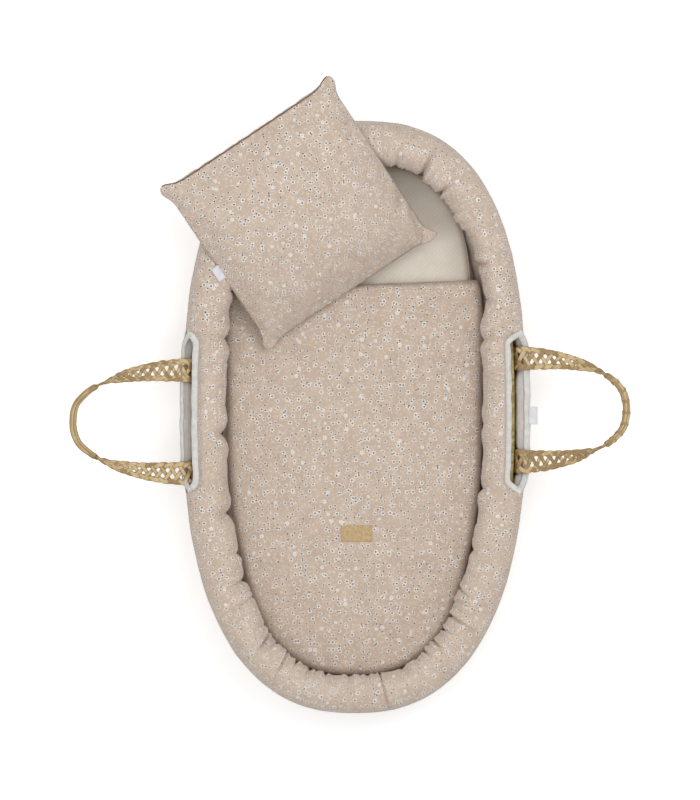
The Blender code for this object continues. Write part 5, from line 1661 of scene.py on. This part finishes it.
def build_slider():
    """Make the zip's slider: two shells on a post, with a pull."""
    middle = box_middle("cushion_zip_slider")
    along, out, up = cushion_axes()
    pieces = []
    for side in (1, -1):
        shell = np.array([middle + along * (s * 0.0044) + up * side * 0.0011 for s in (-1, -0.5, 0.1, 0.6, 1)])
        widths = np.array([0.55, 0.95, 1.0, 0.85, 0.5])
        section = oval(0.0058, 0.0009, 12, 2.6)[None] * widths[:, None, None]
        pieces.append(rope_mesh("shell", shell, np.broadcast_to(up, (5, 3)), section))
    post = np.array([middle - along * 0.0012 + up * h for h in (-0.0011, 0.0, 0.0011)])
    pieces.append(rope_mesh("post", post, np.broadcast_to(along, (3, 3)), oval(0.0016, 0.0016, 8)))
    pull = np.array([middle + up * 0.0017 + along * (0.0006 - s * 0.0010) + out * 0.0004 * s for s in range(5)])
    section = oval(0.0030, 0.0007, 10, 2.4)[None] * np.array([0.7, 0.8, 1.0, 1.0, 0.75])[:, None, None]
    pieces.append(rope_mesh("pull", pull, np.broadcast_to(up, (5, 3)), section))
    slider = joined("zip_slider", pieces)
    dress(slider, ZIP_LOOK, "zip_slider", "cushion_zip_slider", finish="zip")


def build_cushion_label(edge):
    """Fold the small white tape sewn in at the cushion's near side."""
    middle = box_middle("cushion_label")
    across, along, up = cushion_axes()
    outward = -across
    at = np.argmin(((edge - middle) ** 2).sum(axis=1))
    y = np.linspace(-0.0110, 0.0110, 12)
    reach = np.array([-0.0030, 0.000, 0.003, 0.006, 0.0082, 0.0089, 0.0082, 0.006, 0.003, 0.000, -0.0030])
    lift = np.array([0.0008, 0.0009, 0.0010, 0.0009, 0.0006, 0.0, -0.0004, -0.0006, -0.0006, -0.0006, -0.0006])
    bend = np.clip(reach, 0, None) * 0.36
    root = edge[at]
    shape = root + along * y[:, None, None] + outward * reach[:, None] + up * (lift + bend)[:, None]
    uv = np.stack(np.broadcast_arrays(y[:, None], arc_lengths(shape)), axis=-1)
    label = grid("cushion_tag", shape, uv, outward=False)
    thicken(label, TAPE_THICKNESS, 0.0)
    dress(label, TAPE, "cushion", "cushion_label", finish="white_label")


def pillow_index(rows):
    """Return which vertex lies at each place of the upper and of the lower grid."""
    over = np.arange(rows * rows).reshape(rows, rows)
    under = over.copy()
    under[1:-1, 1:-1] = rows * rows + np.arange((rows - 2) ** 2).reshape(rows - 2, rows - 2)
    return over, under


def unroll_pillow(mesh, rows):
    """Lay the print flat on both of a pillow's cloths, measured along the cloth from its middle."""
    points = coordinates(mesh)
    values = []
    for index, shift in zip(pillow_index(rows), (0.0, 1.0)):
        cloth = points[index]
        flat = []
        for axis in (0, 1):
            steps = np.linalg.norm(np.diff(cloth, axis=axis), axis=2)
            reach = np.concatenate([0 * np.take(steps, [0], axis=axis), np.cumsum(steps, axis=axis)], axis=axis)
            flat.append(reach - np.take(reach, [rows // 2], axis=axis))
        flat = np.stack([flat[0] + shift, flat[1]], axis=-1)
        corners = SQUARE if shift == 0.0 else SQUARE[::-1]
        faces = [flat[a:rows - 1 + a, b:rows - 1 + b] for a, b in corners]
        values.append(np.stack(faces, axis=2).reshape(-1, 2))
    mesh.uv_layers["cloth"].data.foreach_set("uv", np.concatenate(values).astype(np.float32).reshape(-1))


def pillow_mesh(name, top, bottom):
    """Join two square grids at their shared edge."""
    rows = top.shape[0]
    verts = [tuple(point) for point in top.reshape(-1, 3)]
    verts += [tuple(point) for point in bottom[1:-1, 1:-1].reshape(-1, 3)]
    over, under = pillow_index(rows)
    cells = [(i, j) for i in range(rows - 1) for j in range(rows - 1)]
    faces = [[int(over[i + a, j + b]) for a, b in SQUARE] for i, j in cells]
    faces += [[int(under[i + a, j + b]) for a, b in SQUARE[::-1]] for i, j in cells]
    mesh = bpy.data.meshes.new(name)
    mesh.from_pydata(verts, [], faces)
    mesh.uv_layers.new(name="cloth")
    mesh.shade_smooth()
    return linked(name, mesh)


# Studio

PHOTO_CENTRE = (-0.0064, 0.0241)
PHOTO_SCALE = 704.8
PHOTO_PLANE = 0.195
CAMERA_HEIGHT = 8.0
PHOTO_ROWS = 800
SENSOR = 36
FLOOR_HALF = 6
FLOOR_LIFT = 0.36
WORLD_STRENGTH = 0.52
LIGHT_SIZE = 1.4
LIGHT_AIM = Vector((0.0, 0.0, 0.1))


def build_camera():
    """Look straight down on the basket from well above."""
    lens = bpy.data.cameras.new("camera")
    lens.sensor_fit = "VERTICAL"
    lens.sensor_height = SENSOR
    lens.lens = PHOTO_SCALE * (CAMERA_HEIGHT - PHOTO_PLANE) * lens.sensor_height / PHOTO_ROWS
    lens.clip_end = 50
    camera = linked("camera", lens)
    camera.location = (*PHOTO_CENTRE, CAMERA_HEIGHT)
    bpy.context.scene.camera = camera


def build_floor():
    """Lay a plain white studio floor that stays white to the camera and keeps the shadow."""
    mesh = bpy.data.meshes.new("floor")
    corners = [(FLOOR_HALF * (2 * x - 1), FLOOR_HALF * (2 * y - 1), 0) for x, y in SQUARE]
    mesh.from_pydata(corners, [], [(0, 1, 2, 3)])
    floor = linked("floor", mesh)
    made = bpy.data.materials.new("floor_white")
    made.use_nodes = True
    tree = Tree(made.node_tree)
    shader = made.node_tree.nodes["Principled BSDF"]
    shader.inputs["Base Color"].default_value = (0.94, 0.94, 0.94, 1)
    shader.inputs["Roughness"].default_value = 1.0
    shader.inputs["Specular IOR Level"].default_value = 0.0
    path = tree.add("ShaderNodeLightPath")
    seen = tree.maths("MAXIMUM", path.outputs["Is Camera Ray"], path.outputs["Is Glossy Ray"])
    seen = tree.maths("MAXIMUM", seen, path.outputs["Is Transmission Ray"])
    tree.tree.links.new(tree.maths("MULTIPLY", seen, FLOOR_LIFT), shader.inputs["Emission Strength"])
    shader.inputs["Emission Color"].default_value = (1, 1, 1, 1)
    mesh.materials.append(made)


def area_light(name, place, power):
    """Hang a soft square light."""
    light = bpy.data.lights.new(name, "AREA")
    light.size = LIGHT_SIZE
    light.energy = power
    lamp = linked(name, light)
    lamp.location = place
    lamp.rotation_euler = (LIGHT_AIM - Vector(place)).to_track_quat("-Z", "Y").to_euler()


def build_light():
    """Light the basket softly from above, a little stronger from the head's right."""
    world = bpy.data.worlds.new("studio")
    world.use_nodes = True
    back = world.node_tree.nodes["Background"]
    back.inputs[0].default_value = (1, 1, 1, 1)
    back.inputs[1].default_value = WORLD_STRENGTH
    bpy.context.scene.world = world
    area_light("key", (0.6, 0.6, 3.0), 30)
    area_light("fill", (-0.55, -0.3, 3.0), 21)
    bpy.context.scene.view_settings.view_transform = "Standard"


build_roll()
build_bindings()
build_facings()
build_skirt()
build_side_label()
build_lining()
build_rim()
build_wall()
build_base()
build_handle("left", False)
build_handle("right", True)
build_mattress()
build_quilt()
build_cushion()
build_camera()
build_floor()
build_light()
